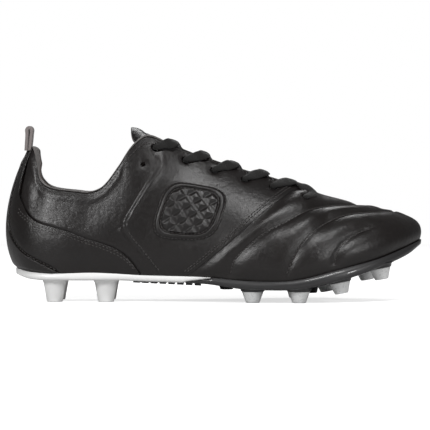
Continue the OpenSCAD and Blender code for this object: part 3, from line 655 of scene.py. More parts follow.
# Cloth simulation of the padding: the shells are thin, so they are light and take high pressure
PAD_PRESSURE, PAD_MASS, PAD_STIFFNESS, PAD_BEND = 220.0, 0.01, 2.0, 0.05
PAD_FRAMES, PAD_CAP, PAD_LOW_V = 20, 5.0, 0.6
# A point of the shell is the given place when they are this close, in mm
SAME_PLACE = 0.01


def collar_bead(name):
    """Rolled binding over the rim of the collar."""
    k = np.linspace(-COLLAR_END_K, COLLAR_END_K, 300)
    rim, base = wall_at(k, 1.0), wall_at(k, COLLAR_V)
    up, n = unit(rim - wall_at(k, 0.96)), wall_normal(k, 0.975)
    end = np.sqrt(np.clip(1 - ((np.abs(k) - 4.4) / 0.2).clip(0, 1)**2, 0.02, 1))
    inward = mix(LINING_IN, -2.9, ramp(np.abs(k), 4.05, 0.3))
    half = (BEAD_PROUD - inward) / 2
    middle = BEAD_PROUD - half
    rope = 1 + 0.02 * np.sin(np.arange(len(k)) * 1.1)
    height = np.linalg.norm(rim - base, axis=1) * 0.98 * rope

    def arch(reach, share):
        turn = np.linspace(0, math.pi, 17)
        return np.stack([base + n * (middle + reach * math.cos(a))[:, None]
                         + up * (share * height * end * math.sin(a)**0.7)[:, None] for a in turn], 1)
    return shell(name, arch(half, 1), arch(half - BEAD_T, 0.55))


def inflate(obj, free, points):
    """Swells a padded shell with a short cloth simulation and subdivides it once.

    Points are places on the shell in mm and free says how loose each is: 0 is sewn down, 1 is
    soft. The rest of the shell is held where it is, and nothing moves further than PAD_CAP.
    """
    tree = KDTree(len(points))
    for i, point in enumerate(points):
        tree.insert(Vector(point) * MM, i)
    tree.balance()
    held = obj.vertex_groups.new(name="sewn_down")
    for vertex in obj.data.vertices:
        _, i, gap = tree.find(vertex.co)
        held.add([vertex.index], 1 - free[i] if gap < SAME_PLACE * MM else 1, "REPLACE")
    cloth = obj.modifiers.new("padding", "CLOTH").settings
    cloth.quality = 5
    cloth.mass = PAD_MASS
    cloth.tension_stiffness = cloth.compression_stiffness = PAD_STIFFNESS
    cloth.bending_stiffness = PAD_BEND
    cloth.use_pressure = True
    cloth.uniform_pressure_force = PAD_PRESSURE
    cloth.vertex_group_mass = held.name
    cloth.effector_weights.gravity = 0
    for frame_number in range(1, PAD_FRAMES + 1):
        bpy.context.scene.frame_set(frame_number)
    rest = np.array([v.co for v in obj.data.vertices])
    apply_modifiers(obj)
    move = np.array([v.co for v in obj.data.vertices]) - rest
    far = np.linalg.norm(move, axis=1, keepdims=True)
    move *= np.minimum(1, PAD_CAP * MM / np.maximum(far, 1e-9))
    obj.data.vertices.foreach_set("co", (rest + move).ravel())
    obj.vertex_groups.clear()
    obj.modifiers.new("smooth", "SUBSURF").levels = 1
    apply_modifiers(obj)
    bpy.context.scene.frame_set(1)
    shade_smooth(obj.data)
    return obj


def lining_grid(columns, rows):
    """Grids of k and v from one vamp seam round the heel to the other."""
    w = np.linspace(-1, 1, columns)[:, None]
    t = np.linspace(0, 1, rows)[None, :]
    reach = vamp_k(LINING_TOP_V)
    top = mix(COLLAR_V, LINING_TOP_V, ramp(np.abs(w) * reach, 4.05, 0.35))
    v = mix(0.04, top, t)
    return w * vamp_k(np.minimum(v, LINING_TOP_V)), v


def collar_lining(name):
    """Lining of the quarters, swollen by the foam behind it round the collar."""
    k, v = lining_grid(150, 30)
    u = np.abs(k)
    pad = ramp(v, PAD_LOW_V, 0.1) * (1 - ramp(v, 0.9, 0.06))
    pad = pad * (1 - ramp(u, 3.3, 0.8)) * ramp(u, 0.15, 0.4)
    wrinkles = soft_wrinkles(wall_at(k, v), 9, 0.16) * (0.4 + pad)
    seam = bell(v, PAD_LOW_V, 0.03125) * (u < 4.1)
    inner = skin(k, v, LINING_IN - wrinkles + 0.5 * seam)
    obj = shell(name, skin(k, v, np.full(k.shape, LINING_OUT)), inner)
    return inflate(obj, pad.ravel(), inner.reshape(-1, 3))


# ---------------------------------------------------------------- badge
BADGE_K, BADGE_V, BADGE_HALF_K, BADGE_HALF_V, BADGE_SLANT = 5.05, 0.5, 0.67, 0.215, 0.25
BADGE_POWER, BADGE_PITCH, BADGE_RISE, BADGE_BACK, BADGE_HALF_MM = 3.4, 0.5, 1.5, 0.6, 22
BADGE_INNER_SEAM, BADGE_OUTER_SEAM = 0.79, 0.965


def badge_kv(side, a, b):
    """(k, v) of a place on the badge, whose rim is the circle of radius 1 bent to a soft square."""
    return (side * (BADGE_K + BADGE_HALF_K * a) + side * BADGE_SLANT * b,
            BADGE_V + BADGE_HALF_V * b)


def soft_square(angle):
    """Point of a square with rounded corners and sides at each angle."""
    c, s = np.cos(angle), np.sin(angle)
    r = (np.abs(c)**BADGE_POWER + np.abs(s)**BADGE_POWER)**(-1 / BADGE_POWER)
    return r * c, r * s


def badge(name, side):
    """Padded patch with a rolled border and a plain quilted lattice."""
    r = np.concatenate([np.linspace(0.0, 0.94, 84), [0.955, 0.97, 0.985, 1.0]])[:, None]
    angle = np.linspace(0, 2 * math.pi, 241)[None, :]
    x, y = soft_square(angle)
    a, b = r * x, r * y
    k, v = badge_kv(side, a, b)
    base, out = wall_at(k, v), wall_normal(k, v)
    cells = np.minimum(np.abs(((a + b) / BADGE_PITCH) % 1 - 0.5),
                       np.abs(((a - b) / BADGE_PITCH) % 1 - 0.5))
    lattice = 1.1 * fade_in(cells, 0.2) * (1 - ramp(r, 0.74, 0.05))
    channel = 0.8 * bell(r, BADGE_INNER_SEAM, 0.028) + 0.45 * bell(r, 0.96, 0.02)
    border = 0.8 * bell(r, 0.87, 0.07)
    fall = rounded(np.maximum(1 - r, 0) * BADGE_HALF_MM, 1.6) * 0.9
    outer = base + out * (BADGE_RISE + lattice + border - channel - fall)[..., None]
    inner = base - out * BADGE_BACK
    if side == LATERAL:
        outer, inner = outer[:, ::-1], inner[:, ::-1]
    return shell(name, outer, inner, "e")


def badge_ring(side, r):
    x, y = soft_square(np.linspace(0, 2 * math.pi, 200))
    return wall_at(*badge_kv(side, r * x, r * y))


# ---------------------------------------------------------------- tongue
TONGUE_CREST = Curve([(3.85, 119.2), (4.15, 116.3), (4.5, 111.3), (5, 104.1), (5.6, 96.8),
                      (6.2, 90.2), (6.8, 84.1), (7.4, 77), (7.8, 71)])
TONGUE_TOP_K, TONGUE_BASE_K, TONGUE_DIP, TONGUE_FLAP, TONGUE_TURN_R = 3.82, 7.82, 0.4, 0.2, 2.2


def flap_v(k):
    """How far down the wall the tongue's flaps reach."""
    return mix(0.94, 0.84, np.clip((k - 4.55) / 0.2, 0, 1))


def arch_point(k, w, off):
    """Points over the throat: w runs 0 to 1 from the medial eyestay to the lateral one."""
    k, w, off = together(k, w, off)
    a, b = skin(k, 1 + 0 * k, off), skin(-k, 1 + 0 * k, off)
    p = mix(a, b, w[..., None])
    rise = (TONGUE_CREST(k)[..., 0] + off - TONGUE_OUT - p[..., 2]) * 4 * w * (1 - w)
    return p + UP * rise[..., None]


def tongue_points(k, c, off):
    """Points across the tongue: c runs 0 to 1, with a flap under each eyestay at its ends."""
    w = np.clip((c - TONGUE_FLAP) / (1 - 2 * TONGUE_FLAP), 0, 1)
    side = np.where(c < 0.5, MEDIAL, LATERAL)
    share = np.clip(np.minimum(c, 1 - c) / TONGUE_FLAP, 0, 1)
    v = mix(flap_v(k), 1.0, share)
    on_flap = (share < 1)[..., None]
    return np.where(on_flap, skin(side * k, v, off), arch_point(k, w, off))


def tongue_grid():
    """k and c over the tongue, whose top edge dips towards its sides, and the points there.

    Then how far each point is from the top edge, and from the nearest edge but the base.
    """
    c = np.linspace(0, 1, 88)[None, :]
    top_k = TONGUE_TOP_K + TONGUE_DIP * np.abs(2 * c - 1)**2
    k = mix(top_k, TONGUE_BASE_K, np.linspace(0, 1, 130)[:, None]**1.25)
    c = np.broadcast_to(c, k.shape)
    flat = tongue_points(k, c, np.full(k.shape, TONGUE_OUT))
    go = run_lengths(flat, 0)[0]
    left, right = run_lengths(flat, 1)
    return k, c, flat, go, np.minimum(np.minimum(left, right), go + 0.3)


def tongue_cover(name):
    """Leather front of the tongue with a rolled top edge and soft padded rows below it."""
    k, c, flat, go, edge = tongue_grid()
    lip = 1.1 * bell(go, 4.5, 4) - 0.5 * bell(go, 10.5, 1.5)
    rows = 0.21 * np.sin(go * 0.42) * ramp(go, 12, 6)
    turn = 0.5 * rounded(edge, TONGUE_TURN_R)
    outer = tongue_points(k, c, TONGUE_OUT - turn + lip + rows + soft_wrinkles(flat, 9, 0.08))
    return shell(name, outer, tongue_points(k, c, TONGUE_MID + turn))


def tongue_lining(name):
    """Fabric back of the tongue, swollen by the foam in front of it."""
    k, c, flat, go, edge = [grid[::2, ::2] for grid in tongue_grid()]
    pad = ramp(go, 2, 7) * (1 - ramp(go, 60, 20)) * ramp(np.minimum(c, 1 - c), 0.12, 0.15)
    turn = 0.3 * rounded(edge, TONGUE_TURN_R)
    outer = tongue_points(k, c, TONGUE_MID - 0.05 - turn)
    inner = tongue_points(k, c, TONGUE_IN + 1.2 + turn - soft_wrinkles(flat, 8, 0.12))
    return inflate(shell(name, outer, inner), pad.ravel(), inner.reshape(-1, 3))


# ---------------------------------------------------------------- lace
LACE_W, LACE_T, LACE_HOLE_W, LACE_UNDER, BAR_LIFT = 7.2, 2.1, 4.0, -3.9, 2.0
LACE_SLACK_W, LACE_END_W = 0.8 * LACE_W, 3
LOW_CROSS, HIGH_CROSS, LACE_LEAN, CROSS_SHARE = 1.4, 3.1, 0.36, 0.66
THROAT_SLOPE = unit(np.array([1, 0, -0.36]))
TUCK = LINING_IN - 1.5


def way(point, width=LACE_W):
    """A place the lace runs through and its width there."""
    return list(point) + [width]


def tongue_w(side):
    """Place across the tongue beside this side's eyestay."""
    return 0.16 if side == MEDIAL else 0.84


def through(side, i):
    """From the throat's edge into an eyelet and out behind the eyestay."""
    k, v = EYELETS[i]
    return [way(on_skin(side, k + LACE_LEAN / 2, mix(v, 1, 0.5), 1.5)),
            way(on_skin(side, k, v, 1.1), LACE_HOLE_W), way(on_skin(side, k, v, -1), LACE_HOLE_W),
            way(on_skin(side, k - 0.01, v + 0.012, LACE_UNDER), LACE_HOLE_W)]


def cross_over(start, i, lift):
    """From one side over the middle of the tongue to the next eyelet on the other side."""
    k0, k1 = EYELETS[i][0], EYELETS[i - 1][0]
    return [way(arch_point(mix(k1, k0, CROSS_SHARE), 0.5, TONGUE_OUT) + UP * lift),
            way(on_skin(-start, k1 + LACE_LEAN, 1.0, 2.0))]


def climb(side, i, lift):
    """One half of the lace, from its foremost eyelet on this side up to the ankle."""
    if i == 0:
        return []
    k = EYELETS[i][0]
    if i == len(EYELETS) - 1:
        start = [way(on_skin(side, k - 0.13, 1.0, 1.4))]
    else:
        start = [way(on_skin(side, k - 0.1, 1.0, LACE_UNDER - 0.1), LACE_SLACK_W),
                 way(arch_point(k - 0.15, tongue_w(side), TONGUE_OUT) + UP * BAR_LIFT)]
    return (start + cross_over(side, i, lift) + through(-side, i - 1)
            + climb(-side, i - 1, lift))


def tucked(side):
    """The lace's end, down inside the shoe from the ankle eyelet."""
    inside = [(4.35, 0.86), (4.33, 0.8), (4.3, 0.7)]
    return ([way(on_skin(side, 4.36, 0.89, -5.3), LACE_HOLE_W)]
            + [way(on_skin(side, k, v, TUCK), LACE_END_W) for k, v in inside])


def half_lace(side, lift):
    last = len(EYELETS) - 1
    return through(side, last)[::-1] + climb(side, last, lift) + tucked(-side)


def bar(side):
    """Half of the straight run between the foremost eyelets, under the eyestays."""
    k, w = EYELETS[-1][0], tongue_w(side)
    return ([way(on_skin(side, k, 0.97, LACE_UNDER), LACE_HOLE_W)]
            + [way(arch_point(k, at, TONGUE_OUT) + UP * BAR_LIFT, LACE_SLACK_W)
               for at in (w, mix(w, 0.5, 0.5))])


def catmull(line, n):
    """Smooth run through every row of a line, with n points to each step of it."""
    line = np.array(line, float)
    ext = np.vstack([line[0], line, line[-1]])
    t = (np.arange(n) / n)[:, None]
    parts = []
    for i in range(1, len(ext) - 2):
        a, b, c, d = ext[i - 1:i + 3]
        parts.append(0.5 * (2 * b + (c - a) * t + (2 * a - 5 * b + 4 * c - d) * t**2
                            + (3 * b - a - 3 * c + d) * t**3))
    return np.vstack(parts + [line[-1:]])


def lace(name):
    """One soft flat braid that fattens and pinches as it runs through the eyelets."""
    line = (half_lace(LATERAL, LOW_CROSS)[::-1] + bar(LATERAL) + bar(MEDIAL)[::-1]
            + half_lace(MEDIAL, HIGH_CROSS))
    path = catmull(line, 14)
    p, width = path[:, :3], path[:, 3]
    d = np.zeros_like(p)
    d[1:-1] = p[2:] - p[:-2]
    d[0], d[-1] = p[1] - p[0], p[-1] - p[-2]
    d = unit(d)
    across = unit(THROAT_SLOPE - d * (d @ THROAT_SLOPE)[:, None])
    for _ in range(5):
        across[1:-1] = unit(across[:-2] + 2 * across[1:-1] + across[2:])
    thick = unit(np.cross(across, d))
    run = run_along(p)
    cos, sin = np.cos(around(20)), np.sin(around(20))
    flat = np.sign(cos) * np.abs(cos)**0.75
    half_t = LACE_T / 2 * (1 + 0.35 * np.clip((LACE_W - width) / LACE_W, 0, 1))
    rib = 1 + 0.07 * np.sin(run[:, None] * 3.3 + np.abs(flat)[None, :] * 5)
    half_w = width * (1 + 0.05 * np.sin(run * 0.5 + 1.0)) / 2
    points = (p[:, None] + across[:, None] * (flat[None, :] * half_w[:, None])[..., None]
              + thick[:, None] * (sin[None, :] * half_t[:, None] * rib)[..., None])
    return tube_mesh(name, points)


def tube_faces(n, m, start=0):
    """Faces of a closed tube of n rings of m points, numbered from start, with flat caps."""
    faces = []
    for i in range(n - 1):
        for j in range(m):
            a, b = start + i * m + j, start + i * m + (j + 1) % m
            faces.append((a, b, b + m, a + m))
    faces.append(tuple(range(start, start + m))[::-1])
    faces.append(tuple(range(start + (n - 1) * m, start + n * m)))
    return faces


def tube_mesh(name, rings):
    """Closed tube through rings of points, in mm."""
    faces = tube_faces(*rings.shape[:2])
    return weld(new_object(name, rings.reshape(-1, 3) * MM, faces), FINE_WELD * MM)


def lathe_rings(profile, n):
    """Rings of n points for (z, radius) rows, standing along z."""
    a = around(n)
    return np.stack([np.stack([r * np.cos(a), r * np.sin(a), np.full(n, z)], -1)
                     for z, r in profile])


def lace_tips(name):
    """Crimped plastic ends, tucked in beside the foot."""
    profile = [(0, 1.0), (0.4, 1.15), (5, 1.15), (5.3, 0.95), (5.9, 0.95), (6.2, 1.15),
               (12.5, 1.1), (13.6, 0.8), (14, 0.4)]
    tips = []
    for side in (LATERAL, MEDIAL):
        start, end = on_skin(side, 4.3, 0.69, TUCK), on_skin(side, 4.3, 0.52, TUCK - 0.6)
        turn = np.array(Vector(unit(end - start)).to_track_quat("Z", "Y").to_matrix())
        tips.append(tube_mesh("tip", lathe_rings(profile, 20) @ turn.T + start))
    return join(name, tips)


def join(name, objs):
    """One mesh object made of several."""
    bm = bmesh.new()
    for o in objs:
        part = o.data.copy()
        part.transform(o.matrix_world)
        bm.from_mesh(part)
        bpy.data.meshes.remove(part)
    mesh = bpy.data.meshes.new(name)
    bm.to_mesh(mesh)
    bm.free()
    shade_smooth(mesh)
    for o in objs:
        bpy.data.objects.remove(o)
    return linked(name, mesh)


# ---------------------------------------------------------------- sole
# Side view of the plates: x, z
SOLE_TOP = Curve([(-146, 23.2), (-136, 22.6), (-128, 21), (-119, 20.1), (-110, 19.7), (-85, 20.5),
                  (-68, 19.9), (-50, 18.8), (-15, 18), (2, 17), (20, 15.4), (35, 15), (50, 15.4),
                  (65, 17.9), (80, 21.9), (94, 25.4), (108, 29), (118, 32.2), (128, 36),
                  (139, 40.3), (146, 43)])
SOLE_LOW = Curve([(-146, 22), (-136, 18.6), (-124.5, 15.9), (-100, 15.4), (-65, 15.4), (-52, 14.9),
                  (-8, 13.3), (20, 9.8), (50, 9.3), (62, 10.6), (73.5, 12.8), (93.5, 17.9),
                  (119.7, 27), (133, 32.6), (141, 37.8), (146, 41)])
RIM_OUT, STUD_H, TIP_H, MIN_PLATE, STUD_SIDES = 1.2, 9.5, 7.8, 0.3, 36
PLATE_ROWS, PLATE_COLUMNS, SOLE_BEVEL = 220, 56, 1.8
SOCK_INSET, SOCK_LOW, SOCK_TOP = 6, 1.9, 5.2
# The studs behind this x reach the ground; those ahead of it lean forward by this angle
TOE_STUDS_X, TOE_STUD_LEAN = 60, 10.0
WEDGE_START, WEDGE_TIP, FOREFOOT_START, WEDGE_GAP = (-24, 13.88), (-3, 16.6), -20, 0.2
FOREFOOT_STUDS = [(25.6, -31), (57, -34), (86, -29.5), (114, -18),
                  (26, 30), (57, 35.5), (79, 35.5), (107, 31)]
HEEL_STUDS = [(-109.6, -16), (-74.5, -18), (-109.6, 16), (-74.5, 18)]
# Short studs in the middle: x, height of the end, radius, stretch across
LOW_STUDS = [(8, 7.7, 4.5, 1), (40, 7, 4.5, 1), (67, 5.4, 3.6, 2.2)]


def top_z(x):
    return SOLE_TOP(x)[..., 0]


def low_z(x):
    return SOLE_LOW(x)[..., 0]


def wedge_z(x):
    """Line where the heel plate lies on the forefoot plate."""
    return np.interp(x, [WEDGE_START[0], WEDGE_TIP[0]], [WEDGE_START[1], WEDGE_TIP[1]])


def heel_low(x):
    return np.where(x < WEDGE_START[0], low_z(x), np.maximum(wedge_z(x), low_z(x)))


def forefoot_top(x):
    return np.where(x < WEDGE_TIP[0], wedge_z(x) - WEDGE_GAP, top_z(x))


def crowded(n, power):
    """Places from -1 to 1, closer together towards both ends."""
    c = np.linspace(-1, 1, n)
    return np.sign(c) * (1 - (1 - np.abs(c))**power)


def outline_sides(out):
    """The ends in x of the plan, moved out by a margin, and its lateral and medial y at any x."""
    k = np.linspace(-TOE_K, TOE_K, 961)[:-1]
    p = edge_point(k) + edge_out(k) * out
    front, back = p[:, 0].argmax(), p[:, 0].argmin()
    ring = np.roll(p, -back, axis=0)
    split = (front - back) % len(p)
    one, two = ring[:split + 1], np.vstack([ring[split:], ring[:1]])[::-1]
    low, high = (one, two) if one[:, 1].mean() < two[:, 1].mean() else (two, one)
    return (p[back, 0], p[front, 0],
            lambda x: (np.interp(x, low[:, 0], low[:, 1]), np.interp(x, high[:, 0], high[:, 1])))


def plate(name, out, x_range, top, low, edge=SOLE_BEVEL, relief=None):
    """A plate between two side-view lines, with a rounded lower edge all round."""
    first, last, sides = outline_sides(out)
    a, b = max(first, x_range[0]), min(last, x_range[1])
    u = np.linspace(0, 1, PLATE_ROWS)
    front_open, back_open = x_range[1] < last, x_range[0] > first
    crowd = 0.5 - 0.5 * np.cos(math.pi * u)
    if back_open:
        crowd = np.sin(math.pi / 2 * u)
    if front_open:
        crowd = 1 - np.cos(math.pi / 2 * u)
    x = mix(a, b, crowd)
    y0, y1 = sides(x)
    c = crowded(PLATE_COLUMNS, 1.6)
    y = mix(y0[:, None], y1[:, None], (c[None, :] + 1) / 2)
    inset = np.minimum(np.minimum(y - y0[:, None], y1[:, None] - y),
                       2.2 * np.minimum(x - a + 9 * back_open, b - x + 9 * front_open)[:, None])
    bevel = rounded(np.maximum(inset, 0), edge)
    xs = np.broadcast_to(x[:, None], y.shape)
    high, deep = top(xs), low(xs) + bevel
    if relief:
        deep = deep + relief(y, inset)
    deep = np.minimum(deep, high - MIN_PLATE)
    upper = np.stack([xs, y, high], -1)
    lower = np.stack([xs, y, deep], -1)
    return shell(name, upper[::-1], lower[::-1])


def stud(profile, x, y, z, tilt=0.0, stretch=1.0):
    """A turned stud standing at (x, y, z), leaning forward by tilt degrees."""
    rings = lathe_rings(profile, STUD_SIDES) * np.array([1, stretch, 1])
    lean = np.array(Matrix.Rotation(math.radians(-tilt), 3, "Y"))
    return tube_mesh("stud", rings @ lean.T + np.array([x, y, z]))


def stud_ground(x):
    return 0.0 if x < TOE_STUDS_X else float(low_z(x)) - STUD_H


def stud_tilt(x):
    return 0.0 if x < TOE_STUDS_X else TOE_STUD_LEAN


def sole_relief(y, inset):
    """A raised rail round the underside and a shallow channel along its middle."""
    return 0.9 * bell(y, 0, 9) * ramp(inset, 6, 8) - 0.5 * bell(inset, 6.5, 1.6)


def heel_plate(name):
    """Heel and arch plate with its four full-height studs."""
    parts = [plate("heel_base", RIM_OUT, (-150, WEDGE_TIP[0]), top_z, heel_low,
                   relief=sole_relief)]
    for x, y in HEEL_STUDS:
        h = float(low_z(x)) + 0.8
        profile = [(0.0, 4.2), (0.05, 4.9), (0.35, 5.3), (0.9, 5.5), (h * 0.55, 6.9),
                   (h * 0.8, 7.7), (h * 0.93, 8.6), (h, 9.9)]
        parts.append(stud(profile, x, y, 0.0))
    return join(name, parts)


def forefoot_plate(name):
    """Front plate with the bases of the tipped studs and the short middle studs."""
    parts = [plate("fore_base", RIM_OUT, (FOREFOOT_START, 150), forefoot_top, low_z,
                   relief=sole_relief)]
    for x, y in FOREFOOT_STUDS:
        z, tilt = stud_ground(x), stud_tilt(x)
        h = float(low_z(x)) - z + 1.2
        profile = [(TIP_H - 0.02, 7.2), (TIP_H + 0.1, 7.8), (TIP_H + 0.5, 8.1),
                   (h - 1.0, 8.5), (h - 0.3, 9.2), (h, 10.3)]
        parts.append(stud(profile, x, y, z, tilt))
    for x, end, r, stretch in LOW_STUDS:
        h = float(low_z(x)) - end + 1.2
        profile = [(0, r * 0.75), (0.12, r * 0.92), (0.5, r), (h * 0.7, r + 0.9), (h, r + 2.4)]
        parts.append(stud(profile, x, 0, end, 0.0, stretch))
    return join(name, parts)


def stud_tips(name):
    """Pale tips moulded over the forefoot's stud bases."""
    profile = [(0, 3.6), (0.04, 4.2), (0.3, 4.6), (0.8, 4.85), (3.5, 5.75), (6.6, 6.95),
               (TIP_H - 0.35, 7.35), (TIP_H - 0.05, 7.1)]
    return join(name, [stud(profile, x, y, stud_ground(x), stud_tilt(x))
                       for x, y in FOREFOOT_STUDS])


def sockliner(name):
    return plate(name, -SOCK_INSET, (-150, 150), lambda x: top_z(x) + SOCK_TOP,
                 lambda x: top_z(x) + SOCK_LOW, edge=1.2)


# ---------------------------------------------------------------- pull tab
TAB_LINE = [(-129.9, 103.4), (-129.6, 107), (-129.2, 111.5), (-129.0, 115.5), (-128.9, 117.6),
            (-128.1, 118.6), (-127.1, 118.6), (-126.4, 117.6), (-126.5, 115.5), (-126.8, 111.5),
            (-127.2, 107), (-127.4, 103.4)]
TAB_W, TAB_T, TAB_ROWS = 12.0, 2.3, 150


def pull_tab(name):
    """A folded loop of webbing, with turned edges and a worn crown."""
    path = smooth_path(TAB_LINE, TAB_ROWS)
    x, z = path[:, 0], path[:, 1]
    d = unit(np.gradient(path, axis=0))
    nx, nz = -d[:, 1], d[:, 0]
    y = crowded(41, 1.5)
    edge = rounded((1 - np.abs(y)) * TAB_W / 2, 0.6)[None, :]
    run = np.linspace(0, 1, TAB_ROWS)[:, None]
    crown = bell(run, 0.47, 0.1)
    wear = crown * (0.25 * np.sin(y * 31)[None, :] + 0.18 * np.sin(y * 57 + 1)[None, :])
    bow = 0.5 * np.sin(run * math.pi) * (y[None, :]**2)

    def face(sign):
        off = sign * (TAB_T / 2 - 0.95 * edge) + bow * 0.6 + wear * (0.5 + 0.5 * sign)
        return np.stack([x[:, None] + nx[:, None] * off,
                         np.broadcast_to(y[None, :] * TAB_W / 2, off.shape),
                         z[:, None] + nz[:, None] * off], -1)
    return shell(name, face(1), face(-1))


# ---------------------------------------------------------------- stitches
STITCH_PITCH, STITCH_LENGTH, STITCH_R, STITCH_SIDES = 2.6, 2.0, 0.36, 6
# Shape of one stitch: place along it, height over the seam in diameters, share of its radius
STITCH_SHAPE = [(0, -0.5, 0.4), (0.14, 0.0, 0.85), (0.35, 0.28, 1), (0.65, 0.28, 1),
                (0.86, 0.0, 0.85), (1, -0.5, 0.4)]


def stitch_rings(start, ahead, up):
    """A short thread that dives at both ends."""
    side, angle = unit(np.cross(ahead, up)), around(STITCH_SIDES)[:, None]
    rings = []
    for t, rise, fat in STITCH_SHAPE:
        centre = start + ahead * STITCH_LENGTH * t + up * STITCH_R * rise * 2
        rings.append(centre + STITCH_R * fat * (np.cos(angle) * side + np.sin(angle) * up))
    return rings


def seam_stitches(name, seams):
    """Threads along several seams; each seam is (points, lift) with points on the upper."""
    verts, faces, count = [], [], len(STITCH_SHAPE)
    for points, lift in seams:
        place, ahead = along(points, STITCH_PITCH)
        for p, d in zip(place[1:-1], ahead[1:-1]):
            up = outward(p)
            faces += tube_faces(count, STITCH_SIDES, len(verts) * STITCH_SIDES)
            verts += stitch_rings(p - d * STITCH_LENGTH / 2 + up * lift, d, up)
    return new_object(name, np.vstack(verts) * MM, faces)


SAMPLE_K, SAMPLE_V = np.meshgrid(np.linspace(-TOE_K, TOE_K, 361), np.linspace(0.01, 0.99, 60),
                                 indexing="ij")
SAMPLE_POINTS = wall_at(SAMPLE_K, SAMPLE_V).reshape(-1, 3)
SAMPLE_NORMALS = wall_normal(SAMPLE_K, SAMPLE_V).reshape(-1, 3)


def outward(point):
    """Outward direction of the upper nearest to a point."""
    return SAMPLE_NORMALS[((SAMPLE_POINTS - point)**2).sum(1).argmin()]


def side_seams():
    """Seams of one side, as (rows of k and v, points along it, lift off the surface)."""
    lines = []
    run = overlay_edge(np.linspace(0.015, 0.84, 40))
    for drop in (0.022, 0.05):
        rows = [(k, v - drop * (0.55 + 0.45 * min(1, v / 0.3))) for k, v in run if v > drop + 0.02]
        lines.append((rows, 160, 0.62))
    for shift, high, count, n, lift in ((-0.09, 0.36, 20, 90, 1.1), (0.09, 0.94, 40, 160, 0.6)):
        rows = [(float(strip_k(v)) + shift, v) for v in np.linspace(0.04, high, count)]
        lines.append((rows, n, lift))
    for inset in (0.05, 0.11):
        rows = [(float(vamp_k(v)) - inset, v) for v in np.linspace(0.03, 0.93, 30)]
        lines.append((rows, 160, 0.4))
    for rows in (QUILT_A, QUILT_B, QUILT_C[:-1]):
        lines.append((rows, 160, -0.5))
    lines.append(([(k + 0.05, v) for k, v in crease_rows(0.03, 0.4)], 80, 0.45))
    lines.append(([(k, 0.968) for k in np.linspace(4.75, 7.1, 20)], 100, 0.4))
    lines.append(([(k, 0.93) for k in np.linspace(0.45, 4.5, 40)], 200, 0.05))
    return lines


def boot_seams():
    """Every visible seam of the upper, as (points, lift off the surface)."""
    seams = []
    for side in (LATERAL, MEDIAL):
        seams += [(seam_points(rows, side, n), lift) for rows, n, lift in side_seams()]
        seams.append((badge_ring(side, BADGE_INNER_SEAM), 1.0))
        seams.append((badge_ring(side, BADGE_OUTER_SEAM), 0.75))
    return seams


# ---------------------------------------------------------------- materials
class Nodes:
    """A node tree with short ways to add what the materials below share."""

    def __init__(self, name):
        self.material = bpy.data.materials.new(name)
        self.material.use_nodes = True
        self.tree = self.material.node_tree
        self.shader = self.tree.nodes["Principled BSDF"]
        self.where = self.tree.nodes.new("ShaderNodeTexCoord").outputs["Object"]

    def add(self, kind, **inputs):
        node = self.tree.nodes.new(kind)
        for key, value in inputs.items():
            slot = node.inputs[key.replace("_", " ")]
            if isinstance(value, bpy.types.NodeSocket):
                self.tree.links.new(value, slot)
            else:
                slot.default_value = value
        return node

    def link(self, a, b):
        self.tree.links.new(a, b)

    def noise(self, scale, detail):
        return self.add("ShaderNodeTexNoise", Vector=self.where, Scale=scale,
                        Detail=detail).outputs["Fac"]

    def cells(self, scale):
        node = self.add("ShaderNodeTexVoronoi", Vector=self.where, Scale=scale)
        node.feature = "DISTANCE_TO_EDGE"
        return node.outputs["Distance"]

    def wave(self, scale, axis, distort=0.6):
        """Parallel threads across one axis of the object's own frame."""
        node = self.add("ShaderNodeTexWave", Vector=self.where, Scale=scale, Distortion=distort)
        node.bands_direction = axis
        return node.outputs["Fac"]

    def math(self, operation, a, b):
        node = self.tree.nodes.new("ShaderNodeMath")
        node.operation = operation
        for i, value in enumerate((a, b)):
            if isinstance(value, bpy.types.NodeSocket):
                self.link(value, node.inputs[i])
            else:
                node.inputs[i].default_value = value
        return node.outputs[0]

    def spread(self, value, low, high):
        """Maps a 0 to 1 value onto a range."""
        node = self.add("ShaderNodeMapRange", Value=value)
        node.inputs["To Min"].default_value = low
        node.inputs["To Max"].default_value = high
        return node.outputs["Result"]

    def tint(self, value, dark, light):
        node = self.tree.nodes.new("ShaderNodeMix")
        node.data_type = "RGBA"
        self.link(value, node.inputs["Factor"])
        node.inputs["A"].default_value = (*dark, 1)
        node.inputs["B"].default_value = (*light, 1)
        return node.outputs["Result"]

    def bumps(self, *layers):
        """Stacks bump maps given as (height, distance in metres, strength)."""
        normal = None
        for height, distance, strength in layers:
            node = self.add("ShaderNodeBump", Height=height, Distance=distance, Strength=strength)
            if normal:
                self.link(normal, node.inputs["Normal"])
            normal = node.outputs["Normal"]
        self.link(normal, self.shader.inputs["Normal"])

    def finish(self, colour, rough, **extra):
        self.link(colour, self.shader.inputs["Base Color"])
        self.link(rough, self.shader.inputs["Roughness"])
        for key, value in extra.items():
            self.shader.inputs[key.replace("_", " ")].default_value = value
        return self.material


def leather(name, dark, light, rough):
    """Smooth full-grain leather: fine pores, faint creases and a soft waxy shine."""
    m = Nodes(name)
    pores, creases = m.cells(1500), m.noise(420, 5)
    patches = m.noise(38, 4)
    m.bumps((pores, 0.00016, 0.5), (creases, 0.0004, 0.45), (m.noise(90, 3), 0.0009, 0.35))
    return m.finish(m.tint(patches, dark, light), m.spread(creases, rough - 0.09, rough + 0.1),
                    Specular_IOR_Level=0.46)


